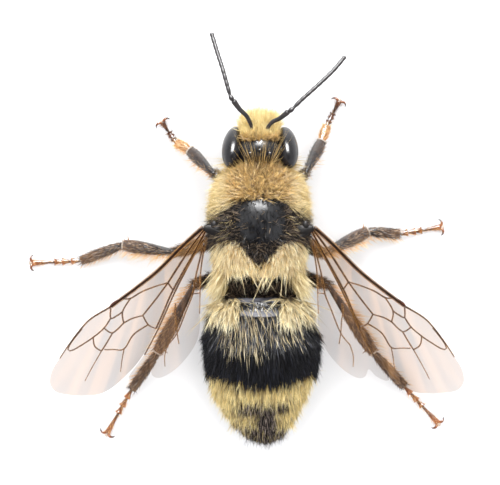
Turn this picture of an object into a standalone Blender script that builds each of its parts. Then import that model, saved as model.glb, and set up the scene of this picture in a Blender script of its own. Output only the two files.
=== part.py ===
"""A male bumblebee at life size, standing still with its wings half spread.

Lengths are in millimetres and MM turns them into metres. +Y is the way the bee faces, +X is its
right side, +Z is up, and the floor is at z = 0. Every solid of flesh reaches out to the tips of the
coat on it. The last step moves the origin to the middle of the foot of the whole bee's box.
"""

import math

import bmesh
import bpy
from mathutils import Matrix, Vector

MM = 0.001

# Driving sizes, in millimetres.
JOINT_GAP = 0.04  # between two pieces that touch
FEELER_RADIUS = 0.25  # feelers are drawn at the least thickness that a solid keeps
WING_THICKNESS = 0.5
WING_PITCH = 0.125  # drop per millimetre from the hinge to the tip
WING_ROLL = 0.05  # drop per millimetre from the leading edge to the trailing edge
BODY_SIDES = 24
COLLAR_SIDES = 16
LEG_SIDES = 8
LEG_FLAT = 0.5  # turn of a leg's sides, in sides, that lays a flat and not an edge on the floor

SIDES = {"left": -1, "right": 1}

# Body outlines, from the front to the back. Each station is
# (y, middle x, half width, top z, bottom z), with the coat included.
HEAD = [
    (6.36, 0.00, 0.42, 3.12, 2.25),
    (6.22, 0.00, 0.72, 3.52, 1.85),
    (5.90, 0.00, 0.98, 4.02, 1.45),
    (5.40, 0.00, 1.18, 4.52, 1.30),
    (4.80, 0.00, 1.40, 4.92, 1.50),
    (4.10, 0.00, 1.46, 4.82, 1.90),
    (3.50, 0.00, 1.28, 4.44, 2.20),
]
THORAX = [
    (3.44, 0.00, 1.90, 4.75, 2.05),
    (3.10, 0.00, 2.30, 5.25, 1.75),
    (2.50, -0.03, 2.44, 5.80, 1.45),
    (1.40, -0.05, 2.66, 6.32, 1.20),
    (0.20, -0.05, 2.52, 6.42, 1.12),
    (-1.10, -0.05, 2.46, 6.22, 1.15),
    (-2.00, -0.03, 2.50, 5.70, 1.30),
    (-2.60, 0.00, 2.42, 4.98, 1.60),
]
ABDOMEN = [
    (-2.64, 0.00, 2.46, 4.50, 1.30),
    (-3.00, 0.00, 2.72, 4.88, 0.95),
    (-3.80, 0.02, 2.92, 5.16, 0.62),
    (-5.00, 0.08, 3.12, 5.28, 0.45),
    (-6.10, 0.08, 3.06, 5.00, 0.45),
    (-7.10, 0.02, 2.68, 4.46, 0.55),
    (-8.10, 0.03, 2.24, 3.86, 0.72),
    (-9.00, 0.12, 1.70, 3.24, 0.90),
    (-9.70, 0.20, 1.16, 2.70, 1.10),
    (-10.08, 0.22, 0.70, 2.28, 1.38),
]
# Where one ring of the abdomen ends and the next begins.
ABDOMEN_JOINTS = [-2.64, -3.70, -4.90, -6.80, -8.00, -8.80, -9.45, -10.08]

# The neck and the waist sit in pockets in the coats on either side of them.
NECK = {"front": 3.80, "back": 3.10, "radius": 0.75, "z": 3.35}
WAIST = {"front": -2.25, "back": -2.95, "radius": 0.80, "z": 2.95}

# Each eye leans forward at the bottom, and its front is turned in towards the middle.
EYE = {"centre": (1.30, 4.48, 3.42), "radii": (0.54, 0.80, 1.28), "lean": math.radians(40),
       "turn": math.radians(9)}
TEGULA = {"centre": (2.36, 0.74, 5.06), "radii": (0.36, 0.44, 0.26)}
MANDIBLE = {"path": [(0.62, 5.30, 1.75), (0.46, 5.95, 1.35), (0.14, 6.14, 1.02)],
            "radii": [0.26, 0.24, 0.15]}

# Feelers: the root of the scape, its bend, the elbow, then the bends of the flagellum to its tip.
FEELERS = {
    "left": {
        "scape": [(-0.40, 5.48, 4.25), (-0.65, 5.97, 4.52), (-0.98, 6.42, 4.70), (-1.38, 6.80, 4.80)],
        "flagellum": [(-1.38, 6.80, 4.80), (-1.60, 7.50, 4.74), (-1.86, 8.35, 4.52),
                      (-2.12, 9.25, 4.14), (-2.38, 10.16, 3.62)],
    },
    "right": {
        "scape": [(0.35, 5.46, 4.25), (0.60, 5.72, 4.46), (0.97, 5.95, 4.64), (1.46, 6.24, 4.80)],
        "flagellum": [(1.46, 6.24, 4.80), (2.03, 6.81, 4.76), (2.82, 7.54, 4.60),
                      (3.72, 8.32, 4.26), (4.18, 9.00, 3.90)],
    },
}

# Legs: the hip, the end of the coxa, the knee, the end of the tibia, the end of the basitarsus
# and the tip of the foot. The tips lie flat on the floor.
LEGS = {
    "front_left": [(-0.50, 2.20, 1.50), (-1.05, 2.45, 1.15), (-2.26, 3.24, 2.45),
                   (-3.50, 4.44, 0.86), (-4.12, 4.78, 0.50), (-4.80, 5.76, 0.17)],
    "front_right": [(0.50, 2.20, 1.50), (1.05, 2.45, 1.15), (2.26, 3.30, 2.55),
                    (3.05, 4.90, 0.90), (3.28, 5.60, 0.50), (3.86, 6.80, 0.17)],
    "middle_left": [(-0.80, 0.35, 1.15), (-1.40, 0.20, 0.86), (-4.28, -0.62, 2.25),
                    (-6.78, -0.22, 0.74), (-8.84, -1.02, 0.36), (-11.18, -1.14, 0.17)],
    "middle_right": [(0.80, 0.35, 1.15), (1.40, 0.20, 0.86), (3.12, -0.66, 3.02),
                     (5.34, 0.46, 0.80), (6.88, 0.30, 0.42), (8.90, 0.62, 0.17)],
    "hind_left": [(-0.75, -1.35, 1.15), (-1.35, -1.60, 0.86), (-3.28, -2.24, 2.90),
                  (-5.10, -5.60, 0.92), (-6.32, -7.36, 0.40), (-7.48, -9.50, 0.17)],
    "hind_right": [(0.75, -1.35, 1.15), (1.35, -1.60, 0.86), (3.42, -2.24, 2.90),
                   (5.64, -5.60, 0.92), (7.08, -7.22, 0.40), (8.72, -9.00, 0.17)],
}
SEGMENTS = ["coxa", "femur", "tibia", "basitarsus", "tarsus"]
# Each segment's (half width, half height) at its start, along it and at its end.
SEGMENT_GIRTHS = {
    "coxa": [(0.36, 0.34), (0.36, 0.34), (0.25, 0.25)],
    "femur": [(0.25, 0.25), (0.35, 0.36), (0.34, 0.34), (0.26, 0.26)],
    "tibia": [(0.26, 0.26), (0.30, 0.30), (0.34, 0.32), (0.27, 0.27)],
    "basitarsus": [(0.27, 0.27), (0.30, 0.28), (0.29, 0.27), (0.25, 0.25)],
    "tarsus": [(0.25, 0.25), (0.25, 0.25), (0.25, 0.25), (0.26, 0.25), (0.42, 0.25), (0.38, 0.22)],
}
LANDING = 0.45  # how far along the tarsus it comes down to the floor
LEG_GROWTH = {"front": 0.85, "middle": 0.95, "hind": 1.0}  # girth of each pair beside the hind pair

# Wings, each laid out from the hinge towards the tip and across towards the trailing edge, in
# shares of the forewing's length. The left hindwing is drawn in a little under its forewing.
WINGS = {
    "left": {"hinge": (-2.72, 0.58), "tip": (-10.20, -6.80), "hind_share": 0.975},
    "right": {"hinge": (2.58, 0.58), "tip": (9.90, -6.72), "hind_share": 1.0},
}
HINGE_HEIGHT = 4.75
HIND_DROP = 0.04  # how far the hindwing lies below the forewing
FOREWING = [
    (0.000, -0.016), (0.118, -0.018), (0.288, -0.016), (0.413, -0.029), (0.492, -0.040),
    (0.575, -0.051), (0.661, -0.070), (0.727, -0.070), (0.821, -0.056), (0.897, -0.040),
    (0.955, -0.026), (1.001, 0.000), (1.018, 0.031), (1.015, 0.066), (0.985, 0.108),
    (0.940, 0.158), (0.883, 0.205), (0.817, 0.228), (0.726, 0.232), (0.625, 0.220),
    (0.490, 0.180), (0.299, 0.107), (0.112, 0.049), (0.000, 0.022),
]
HINDWING = [
    (0.025, 0.038), (0.110, 0.056), (0.297, 0.114), (0.487, 0.187), (0.622, 0.227),
    (0.724, 0.239), (0.752, 0.246), (0.748, 0.266), (0.701, 0.284), (0.652, 0.286),
    (0.664, 0.318), (0.652, 0.345), (0.615, 0.362), (0.555, 0.372), (0.479, 0.368),
    (0.400, 0.348), (0.330, 0.300), (0.250, 0.215), (0.120, 0.110), (0.040, 0.062),
]


# ---------------------------------------------------------------- materials

COLOURS = {
    "yellow_coat": ((0.62, 0.45, 0.16, 1), 0.85),
    "black_coat": ((0.02, 0.02, 0.022, 1), 0.85),
    "dark_shell": ((0.03, 0.027, 0.027, 1), 0.35),
    "eye_shell": ((0.02, 0.02, 0.025, 1), 0.12),
    "brown_leg": ((0.10, 0.06, 0.035, 1), 0.55),
    "orange_foot": ((0.38, 0.12, 0.04, 1), 0.45),
    "wing_film": ((0.55, 0.47, 0.38, 1), 0.25),
}


def material(name):
    """The Principled material of that name, made the first time it is asked for."""
    found = bpy.data.materials.get(name)
    if found:
        return found
    colour, roughness = COLOURS[name]
    made = bpy.data.materials.new(name)
    made.use_nodes = True
    shader = made.node_tree.nodes["Principled BSDF"]
    shader.inputs["Base Color"].default_value = colour
    shader.inputs["Roughness"].default_value = roughness
    shader.inputs["Metallic"].default_value = 0.0
    return made


# ---------------------------------------------------------------- mesh helpers


def add_object(name, mesh_data, finish, smooth_angle=40):
    """An object in the scene from a bmesh in millimetres."""
    bmesh.ops.recalc_face_normals(mesh_data, faces=mesh_data.faces)
    bmesh.ops.scale(mesh_data, vec=(MM, MM, MM), verts=mesh_data.verts)
    mesh = bpy.data.meshes.new(name)
    mesh_data.to_mesh(mesh)
    mesh_data.free()
    mesh.materials.append(material(finish))
    mesh.shade_smooth()
    mesh.set_sharp_from_angle(angle=math.radians(smooth_angle))
    made = bpy.data.objects.new(name, mesh)
    bpy.context.scene.collection.objects.link(made)
    return made


def skin_rings(rings):
    """A closed bmesh through rings of points, each ring with the same number of points."""
    made = bmesh.new()
    loops = [[made.verts.new(point) for point in ring] for ring in rings]
    count = len(loops[0])
    for near, far in zip(loops, loops[1:]):
        for i in range(count):
            j = (i + 1) % count
            made.faces.new((near[i], near[j], far[j], far[i]))
    for cap in (loops[0], loops[-1]):
        centre = made.verts.new(sum((corner.co for corner in cap), Vector()) / count)
        for i in range(count):
            made.faces.new((cap[i], cap[(i + 1) % count], centre))
    return made


def hide_as_cutter(cutter):
    cutter.hide_render = True
    cutter.display_type = "WIRE"


def cut_by(target, *cutters):
    """Takes each cutter's shape out of the target."""
    for cutter in cutters:
        boolean = target.modifiers.new("cut_" + cutter.name, "BOOLEAN")
        boolean.operation = "DIFFERENCE"
        boolean.solver = "EXACT"
        boolean.object = cutter


# ---------------------------------------------------------------- the body


def smooth_station(stations, y):
    """The station at y, on a smooth curve through the listed ones (Catmull-Rom)."""
    last = len(stations) - 2
    i = 0
    while i < last and y < stations[i + 1][0]:
        i += 1
    before, start, end, after = (stations[min(max(i + k, 0), last + 1)] for k in (-1, 0, 1, 2))
    t = (start[0] - y) / (start[0] - end[0])
    blended = []
    for a, b, c, d in zip(before[1:], start[1:], end[1:], after[1:]):
        bend = 2 * b + (c - a) * t + (2 * a - 5 * b + 4 * c - d) * t**2 + (3 * b - a - 3 * c + d) * t**3
        blended.append(bend / 2)
    return blended


def body_ring(stations, y, grow=0.0):
    """One ring of a body outline at y, grown outwards by grow."""
    middle, half_width, top, bottom = smooth_station(stations, y)
    waterline = bottom + 0.46 * (top - bottom)
    ring = []
    for i in range(BODY_SIDES):
        angle = 2 * math.pi * i / BODY_SIDES
        across, up = math.cos(angle), math.sin(angle)
        reach = (top - waterline) if up > 0 else (waterline - bottom)
        x = middle + (half_width + grow) * across
        ring.append((x, y, waterline + (reach + grow) * up))
    return ring


def stops_between(front, back, spacing):
    count = max(1, round(abs(front - back) / spacing))
    return [front + (back - front) * i / count for i in range(count + 1)]


def body_solid(name, stations, finish, front=None, back=None, spacing=0.5, grow=0.0):
    """A length of a body outline between front and back, or all of it."""
    front = stations[0][0] if front is None else front
    back = stations[-1][0] if back is None else back
    rings = [body_ring(stations, y, grow) for y in stops_between(front, back, spacing)]
    if grow:
        rings.insert(0, [(x, y + grow, z) for x, y, z in rings[0]])
        rings.append([(x, y - grow, z) for x, y, z in rings[-1]])
    return add_object(name, skin_rings(rings), finish)


def grown_body(name, stations):
    cutter = body_solid(name, stations, "dark_shell", grow=JOINT_GAP)
    hide_as_cutter(cutter)
    return cutter


def build_collar(name, place, *neighbours):
    """A short round piece that joins two lengths of the body, and its pocket in each of them."""
    turns = [2 * math.pi * i / COLLAR_SIDES for i in range(COLLAR_SIDES)]
    for part_name, grow in ((name, 0.0), (name + "_cutter", JOINT_GAP)):
        radius = place["radius"] + grow
        rings = []
        for y in (place["front"] + grow, place["back"] - grow):
            rings.append([(radius * math.cos(a), y, place["z"] + radius * math.sin(a)) for a in turns])
        collar = add_object(part_name, skin_rings(rings), "dark_shell")
    hide_as_cutter(collar)
    for neighbour in neighbours:
        cut_by(neighbour, collar)


def ellipsoid(name, centre, radii, finish, lean=0.0, turn=0.0, segments=20, rings=12):
    """An ellipsoid leaned about X and then turned about the vertical."""
    made = bmesh.new()
    bmesh.ops.create_uvsphere(made, u_segments=segments, v_segments=rings, radius=1.0)
    bmesh.ops.scale(made, vec=radii, verts=made.verts)
    placed = Matrix.Rotation(turn, 3, "Z") @ Matrix.Rotation(lean, 3, "X")
    bmesh.ops.rotate(made, cent=(0, 0, 0), matrix=placed, verts=made.verts)
    bmesh.ops.translate(made, vec=centre, verts=made.verts)
    return add_object(name, made, finish)


def build_head(head_cutter):
    body_solid("head", HEAD, "yellow_coat", spacing=0.34)
    for side, sign in SIDES.items():
        x, y, z = EYE["centre"]
        eye = ellipsoid("eye_" + side, (sign * x, y, z), EYE["radii"], "eye_shell",
                        EYE["lean"], sign * EYE["turn"])
        cut_by(eye, head_cutter)
        path = [(sign * x, y, z) for x, y, z in MANDIBLE["path"]]
        girths = [(radius, radius) for radius in MANDIBLE["radii"]]
        jaw = add_object("mandible_" + side, tube(path, girths), "dark_shell")
        cut_by(jaw, head_cutter)


def build_thorax(thorax_cutter):
    body_solid("thorax", THORAX, "black_coat", spacing=0.6)
    for side, sign in SIDES.items():
        x, y, z = TEGULA["centre"]
        tegula = ellipsoid("tegula_" + side, (sign * x, y, z), TEGULA["radii"], "dark_shell",
                           segments=14, rings=8)
        cut_by(tegula, thorax_cutter)


def build_abdomen():
    """Seven rings, split by thin cuts straight across."""
    finishes = ["yellow_coat", "yellow_coat", "black_coat", "yellow_coat"] + ["black_coat"] * 3
    ends = list(zip(ABDOMEN_JOINTS, ABDOMEN_JOINTS[1:]))
    for number, ((front, back), finish) in enumerate(zip(ends, finishes), start=1):
        if number > 1:
            front -= JOINT_GAP / 2
        if number < len(ends):
            back += JOINT_GAP / 2
        body_solid(f"abdomen_{number}", ABDOMEN, finish, front, back)


def build_collars():
    """The neck and the waist, which join the three lengths of the body."""
    pieces = bpy.data.objects
    build_collar("neck", NECK, pieces["head"], pieces["thorax"])
    build_collar("waist", WAIST, pieces["thorax"], pieces["abdomen_1"])


# ---------------------------------------------------------------- feelers and legs


def mitre_normal(incoming, outgoing):
    """The direction square to the cut where two lengths meet."""
    if incoming is None:
        return outgoing
    if outgoing is None:
        return incoming
    return (incoming + outgoing).normalized()


def tube(path, girths, before=None, after=None, sides=LEG_SIDES, turn=LEG_FLAT):
    """A closed bmesh of a tube along path, with a (half width, half height) at each point.

    before and after are the directions of the lengths that it meets, so that both are cut on the
    same slant there. Nothing reaches below the floor.
    """
    points = [Vector(point) for point in path]
    runs = [(b - a).normalized() for a, b in zip(points, points[1:])]
    incoming = [before] + runs
    outgoing = runs + [after]
    rings = []
    for i, (point, (half_width, half_height)) in enumerate(zip(points, girths)):
        run = outgoing[i] if i < len(runs) else incoming[i]
        cut = mitre_normal(incoming[i], outgoing[i])
        across = run.cross(Vector((0, 0, 1))).normalized()
        up = across.cross(run)
        ring = []
        for k in range(sides):
            angle = 2 * math.pi * (k + turn) / sides
            spoke = across * half_width * math.cos(angle) + up * half_height * math.sin(angle)
            corner = point + spoke - run * (spoke.dot(cut) / run.dot(cut))
            corner.z = max(corner.z, 0.0)
            ring.append(corner)
        rings.append(ring)
    return skin_rings(rings)


def spread_points(start, end, count):
    """Points at even steps from start to end."""
    return [start.lerp(end, i / (count - 1)) for i in range(count)]


def shortened(path, start_gap, end_gap):
    """The path with a half gap taken off the ends that meet a neighbour."""
    points = [Vector(point) for point in path]
    if start_gap:
        points[0] += (points[1] - points[0]).normalized() * JOINT_GAP / 2
    if end_gap:
        points[-1] += (points[-2] - points[-1]).normalized() * JOINT_GAP / 2
    return points


def build_feelers(head_cutter):
    for side, feeler in FEELERS.items():
        scape, flagellum = feeler["scape"], feeler["flagellum"]
        last_run = (Vector(scape[-1]) - Vector(scape[-2])).normalized()
        first_run = (Vector(flagellum[1]) - Vector(flagellum[0])).normalized()
        girths = [(FEELER_RADIUS, FEELER_RADIUS)] * len(scape)
        stem = add_object("scape_" + side,
                          tube(shortened(scape, False, True), girths, after=first_run),
                          "dark_shell")
        cut_by(stem, head_cutter)
        girths = [(FEELER_RADIUS, FEELER_RADIUS)] * len(flagellum)
        add_object("flagellum_" + side,
                   tube(shortened(flagellum, True, False), girths, before=last_run),
                   "dark_shell")


def leg_lengths(joints):
    """The path of each segment of a leg. The tarsus comes down and then lies along the floor."""
    points = [Vector(joint) for joint in joints]
    landing = points[-2].lerp(points[-1], LANDING)
    landing.z = points[-1].z
    straight = [[a, b] for a, b in zip(points[:-2], points[1:-1])]
    return straight + [[points[-2], landing, points[-1]]]


def build_leg(leg, joints, thorax_cutter):
    """One leg as five lengths, from the hip to the claws."""
    growth = LEG_GROWTH[leg.split("_")[0]]
    lengths = leg_lengths(joints)
    first_runs = [(path[1] - path[0]).normalized() for path in lengths]
    last_runs = [(path[-1] - path[-2]).normalized() for path in lengths]
    for i, segment in enumerate(SEGMENTS):
        girths = [(growth * w, growth * h) for w, h in SEGMENT_GIRTHS[segment]]
        girths = [(max(w, FEELER_RADIUS), max(h, FEELER_RADIUS)) for w, h in girths]
        last = segment == SEGMENTS[-1]
        path = shortened(lengths[i], i > 0, not last)
        path = path[:-2] + spread_points(path[-2], path[-1], len(girths) - len(path) + 2)
        before = last_runs[i - 1] if i > 0 else None
        after = None if last else first_runs[i + 1]
        finish = "orange_foot" if last else "brown_leg"
        made = add_object(f"{segment}_{leg}", tube(path, girths, before, after), finish)
        if segment in ("coxa", "femur"):
            cut_by(made, thorax_cutter)


# ---------------------------------------------------------------- wings


def wing_plate(name, wing, outline, share=1.0, sunk=0.0):
    """A flat plate with that outline, which slopes down to the tip and to the trailing edge."""
    hinge = Vector((*wing["hinge"], 0))
    span = Vector((*wing["tip"], 0)) - hinge
    length = span.length
    along = span / length
    across = Vector((along.y, -along.x, 0))
    if across.y > 0:
        across.negate()
    made = bmesh.new()
    corners = []
    for u, v in outline:
        place = hinge + (along * u * share + across * v) * length
        drop = (WING_PITCH * u + WING_ROLL * v) * length
        place.z = HINGE_HEIGHT - sunk - drop - WING_THICKNESS / 2
        corners.append(made.verts.new(place))
    face = made.faces.new(corners)
    raised = bmesh.ops.extrude_face_region(made, geom=[face])
    lifted = [item for item in raised["geom"] if isinstance(item, bmesh.types.BMVert)]
    bmesh.ops.translate(made, vec=(0, 0, WING_THICKNESS), verts=lifted)
    bmesh.ops.triangulate(made, faces=[f for f in made.faces if len(f.verts) > 4])
    return add_object(name, made, "wing_film")


def build_wings(*cutters):
    for side, wing in WINGS.items():
        forewing = wing_plate("forewing_" + side, wing, FOREWING)
        hindwing = wing_plate("hindwing_" + side, wing, HINDWING, wing["hind_share"], HIND_DROP)
        for plate in (forewing, hindwing):
            cut_by(plate, *cutters)


# ---------------------------------------------------------------- putting it together


def clear_scene():
    for old in list(bpy.data.objects):
        bpy.data.objects.remove(old, do_unlink=True)


def centre_on_foot_of_box():
    """Parents every piece to one empty, placed so that the bee's box stands centred on the origin."""
    bpy.context.view_layer.update()
    pieces = [piece for piece in bpy.data.objects if piece.type == "MESH"]
    shown = [piece for piece in pieces if not piece.hide_render]
    graph = bpy.context.evaluated_depsgraph_get()
    corners = []
    for piece in shown:
        mesh = piece.evaluated_get(graph).to_mesh()
        corners += [vertex.co.copy() for vertex in mesh.vertices]
    low = Vector(min(corner[i] for corner in corners) for i in range(3))
    high = Vector(max(corner[i] for corner in corners) for i in range(3))
    bee = bpy.data.objects.new("bee", None)
    bpy.context.scene.collection.objects.link(bee)
    bee.location = (-(low.x + high.x) / 2, -(low.y + high.y) / 2, -low.z)
    for piece in pieces:
        piece.parent = bee


def main():
    clear_scene()
    head_cutter = grown_body("head_cutter", HEAD)
    thorax_cutter = grown_body("thorax_cutter", THORAX)
    abdomen_cutter = grown_body("abdomen_cutter", ABDOMEN)
    build_head(head_cutter)
    build_thorax(thorax_cutter)
    build_abdomen()
    build_collars()
    build_feelers(head_cutter)
    for leg, joints in LEGS.items():
        build_leg(leg, joints, thorax_cutter)
    build_wings(thorax_cutter, abdomen_cutter)
    centre_on_foot_of_box()


main()
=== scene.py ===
"""The looks of the male bumblebee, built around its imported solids.

Lengths are in millimetres in the bee's own frame, the one that the solids are drawn in: +Y is the
way the bee faces, +X its right side, +Z up, and the floor is at z = 0. add_mesh() moves every piece
into the row's frame, in metres. One black skin runs from the face to the tail inside the solids of
flesh, and the coat is grown on it hair by hair, as narrow tapered blades.
"""

import math

import bpy
import numpy as np
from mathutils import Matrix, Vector
from mathutils.geometry import delaunay_2d_cdt


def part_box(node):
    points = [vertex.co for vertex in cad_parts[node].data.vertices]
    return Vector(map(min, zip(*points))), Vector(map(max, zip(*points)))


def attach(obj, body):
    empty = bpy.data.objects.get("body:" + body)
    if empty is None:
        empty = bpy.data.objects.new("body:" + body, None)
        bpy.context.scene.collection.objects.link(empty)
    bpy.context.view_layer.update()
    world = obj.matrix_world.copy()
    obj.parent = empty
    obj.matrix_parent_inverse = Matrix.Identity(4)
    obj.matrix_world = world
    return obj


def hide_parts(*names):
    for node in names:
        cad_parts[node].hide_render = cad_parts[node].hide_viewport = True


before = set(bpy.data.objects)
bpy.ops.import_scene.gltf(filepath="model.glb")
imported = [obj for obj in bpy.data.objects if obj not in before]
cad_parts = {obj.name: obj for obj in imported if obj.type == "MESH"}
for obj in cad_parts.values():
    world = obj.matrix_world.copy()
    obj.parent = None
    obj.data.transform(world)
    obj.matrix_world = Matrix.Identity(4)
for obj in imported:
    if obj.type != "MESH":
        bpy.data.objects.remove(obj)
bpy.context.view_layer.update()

MM = 0.001
NECK_CENTRE = np.array((0.0, 3.45, 3.35))  # where the neck's solid is centred in the bee's frame
ORIGIN = (np.array(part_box("neck")[0]) + np.array(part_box("neck")[1])) / 2 - NECK_CENTRE * MM
SIDES = {"left": -1, "right": 1}
rng = np.random.default_rng(11)

# ---- the skin's outline

# (y, middle x, half width, top z, bottom z) from the face to the tail.
SKIN_OUTLINE = [
    (5.56, 0.00, 0.12, 3.05, 2.75),
    (5.52, 0.00, 0.45, 3.45, 2.25),
    (5.38, 0.00, 0.74, 3.92, 1.85),
    (5.08, 0.00, 0.98, 4.34, 1.62),
    (4.72, 0.00, 1.14, 4.60, 1.72),
    (4.25, 0.00, 1.30, 4.66, 1.95),
    (3.90, 0.00, 1.30, 4.48, 2.15),
    (3.62, 0.00, 1.05, 4.12, 2.50),
    (3.46, 0.00, 0.62, 3.80, 2.88),
    (3.34, 0.00, 0.66, 3.85, 2.80),
    (3.20, 0.00, 1.15, 4.35, 2.30),
    (2.90, 0.00, 1.52, 4.85, 1.95),
    (2.40, -0.02, 1.80, 5.25, 1.75),
    (1.40, -0.04, 1.98, 5.58, 1.62),
    (0.20, -0.05, 2.02, 5.62, 1.60),
    (-1.00, -0.05, 1.92, 5.36, 1.68),
    (-1.80, -0.03, 1.76, 4.78, 1.85),
    (-2.30, 0.00, 1.50, 4.10, 2.10),
    (-2.50, 0.00, 1.52, 3.60, 2.35),
    (-2.66, 0.00, 1.62, 3.60, 2.20),
    (-2.82, 0.00, 1.88, 4.08, 1.80),
    (-3.10, 0.00, 2.12, 4.44, 1.40),
    (-3.80, 0.02, 2.36, 4.70, 1.10),
    (-5.00, 0.08, 2.56, 4.82, 0.92),
    (-6.10, 0.08, 2.46, 4.58, 0.92),
    (-7.10, 0.02, 2.10, 4.08, 0.98),
    (-8.00, 0.04, 1.70, 3.52, 1.08),
    (-8.80, 0.12, 1.26, 2.98, 1.20),
    (-9.25, 0.17, 0.88, 2.60, 1.35),
    (-9.50, 0.20, 0.52, 2.30, 1.55),
    (-9.60, 0.22, 0.14, 2.05, 1.80),
]
WATERLINE = 0.46  # share of a ring's height at which it is widest
RING_STEP = 0.05
RING_SIDES = 128
# Rear edges of the plates on the abdomen's back, at its middle, and how far they curve forward.
PLATE_EDGES = [-3.05, -3.75, -5.0, -6.75, -7.8, -8.65, -9.25]
PLATE_CURVE = 0.45
PLATE_STEP = 0.06

# ---- small helpers


def ease(low, high, value):
    """0 where value is at low and 1 where it is at high, with a soft rise or fall between."""
    t = np.clip((value - low) / (high - low), 0.0, 1.0)
    return t * t * (3 - 2 * t)


def unit(vectors):
    return vectors / np.maximum(np.linalg.norm(vectors, axis=-1, keepdims=True), 1e-9)


def catmull_rom(knots, values, at):
    """Values at the places `at` on a smooth curve through values, whose places are knots."""
    knots, values = np.asarray(knots, float), np.asarray(values, float)
    last = len(knots) - 2
    i = np.clip(np.searchsorted(knots, at, side="right") - 1, 0, last)
    a, b = values[np.maximum(i - 1, 0)], values[i]
    c, d = values[i + 1], values[np.minimum(i + 2, last + 1)]
    t = ((at - knots[i]) / (knots[i + 1] - knots[i]))[:, None]
    bent = 2 * b + (c - a) * t + (2 * a - 5 * b + 4 * c - d) * t**2 + (3 * b - a - 3 * c + d) * t**3
    return bent / 2


def smooth_path(points, count):
    """Points spread evenly along a smooth curve through the given ones."""
    points = np.asarray(points, float)
    knots = np.concatenate([[0], np.cumsum(np.linalg.norm(np.diff(points, axis=0), axis=1))])
    return catmull_rom(knots, points, np.linspace(0, knots[-1], count))


def add_mesh(name, points, faces, finish, stands_for=(), maps=None):
    """A smooth mesh in the row's frame, riding on the bee. maps holds UV places per point."""
    faces = np.asarray(faces, np.int32)
    mesh = bpy.data.meshes.new(name)
    mesh.vertices.add(len(points))
    mesh.vertices.foreach_set("co", (np.asarray(points) * MM + ORIGIN).astype(np.float32).ravel())
    mesh.loops.add(faces.size)
    mesh.loops.foreach_set("vertex_index", faces.ravel())
    mesh.polygons.add(len(faces))
    mesh.polygons.foreach_set("loop_start", np.arange(0, faces.size, faces.shape[1], dtype=np.int32))
    for label, places in (maps or {}).items():
        layer = mesh.uv_layers.new(name=label)
        layer.uv.foreach_set("vector", places[faces.ravel()].astype(np.float32).ravel())
    mesh.update(calc_edges=True)
    mesh.shade_smooth()
    mesh.materials.append(finish)
    piece = bpy.data.objects.new(name, mesh)
    bpy.context.scene.collection.objects.link(piece)
    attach(piece, "root")
    if stands_for:
        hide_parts(*stands_for)
    return piece


def joined(parts):
    """One (points, faces) from several, whose faces all have the same number of corners."""
    offsets = np.cumsum([0] + [len(points) for points, _ in parts[:-1]])
    points = np.concatenate([points for points, _ in parts])
    return points, np.concatenate([faces + start for (_, faces), start in zip(parts, offsets)])


def add_surfaces(name, surfaces, finish, stands_for=(), maps=None):
    """One piece from several surfaces."""
    points, faces = joined([surface.mesh() for surface in surfaces])
    add_mesh(name, points, faces, finish, stands_for, maps)


# ---- surfaces of rings


class Roots:
    """Places on a surface, with the surface's normal and its two directions there.

    spot is where each place lies on the unwrapped surface, around and along it, from 0 to 1.
    """

    def __init__(self, place, normal=None, along=None, across=None, spot=None):
        self.place, self.normal, self.along, self.across, self.spot = (
            place, normal, along, across, spot)
        self.x, self.y, self.z = np.moveaxis(place, -1, 0)
        self.side = np.abs(self.x)
        self.up = None if normal is None else normal[..., 2]

    def picked(self, keep):
        parts = (self.place, self.normal, self.along, self.across, self.spot)
        return Roots(*(part[keep] for part in parts))


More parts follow.
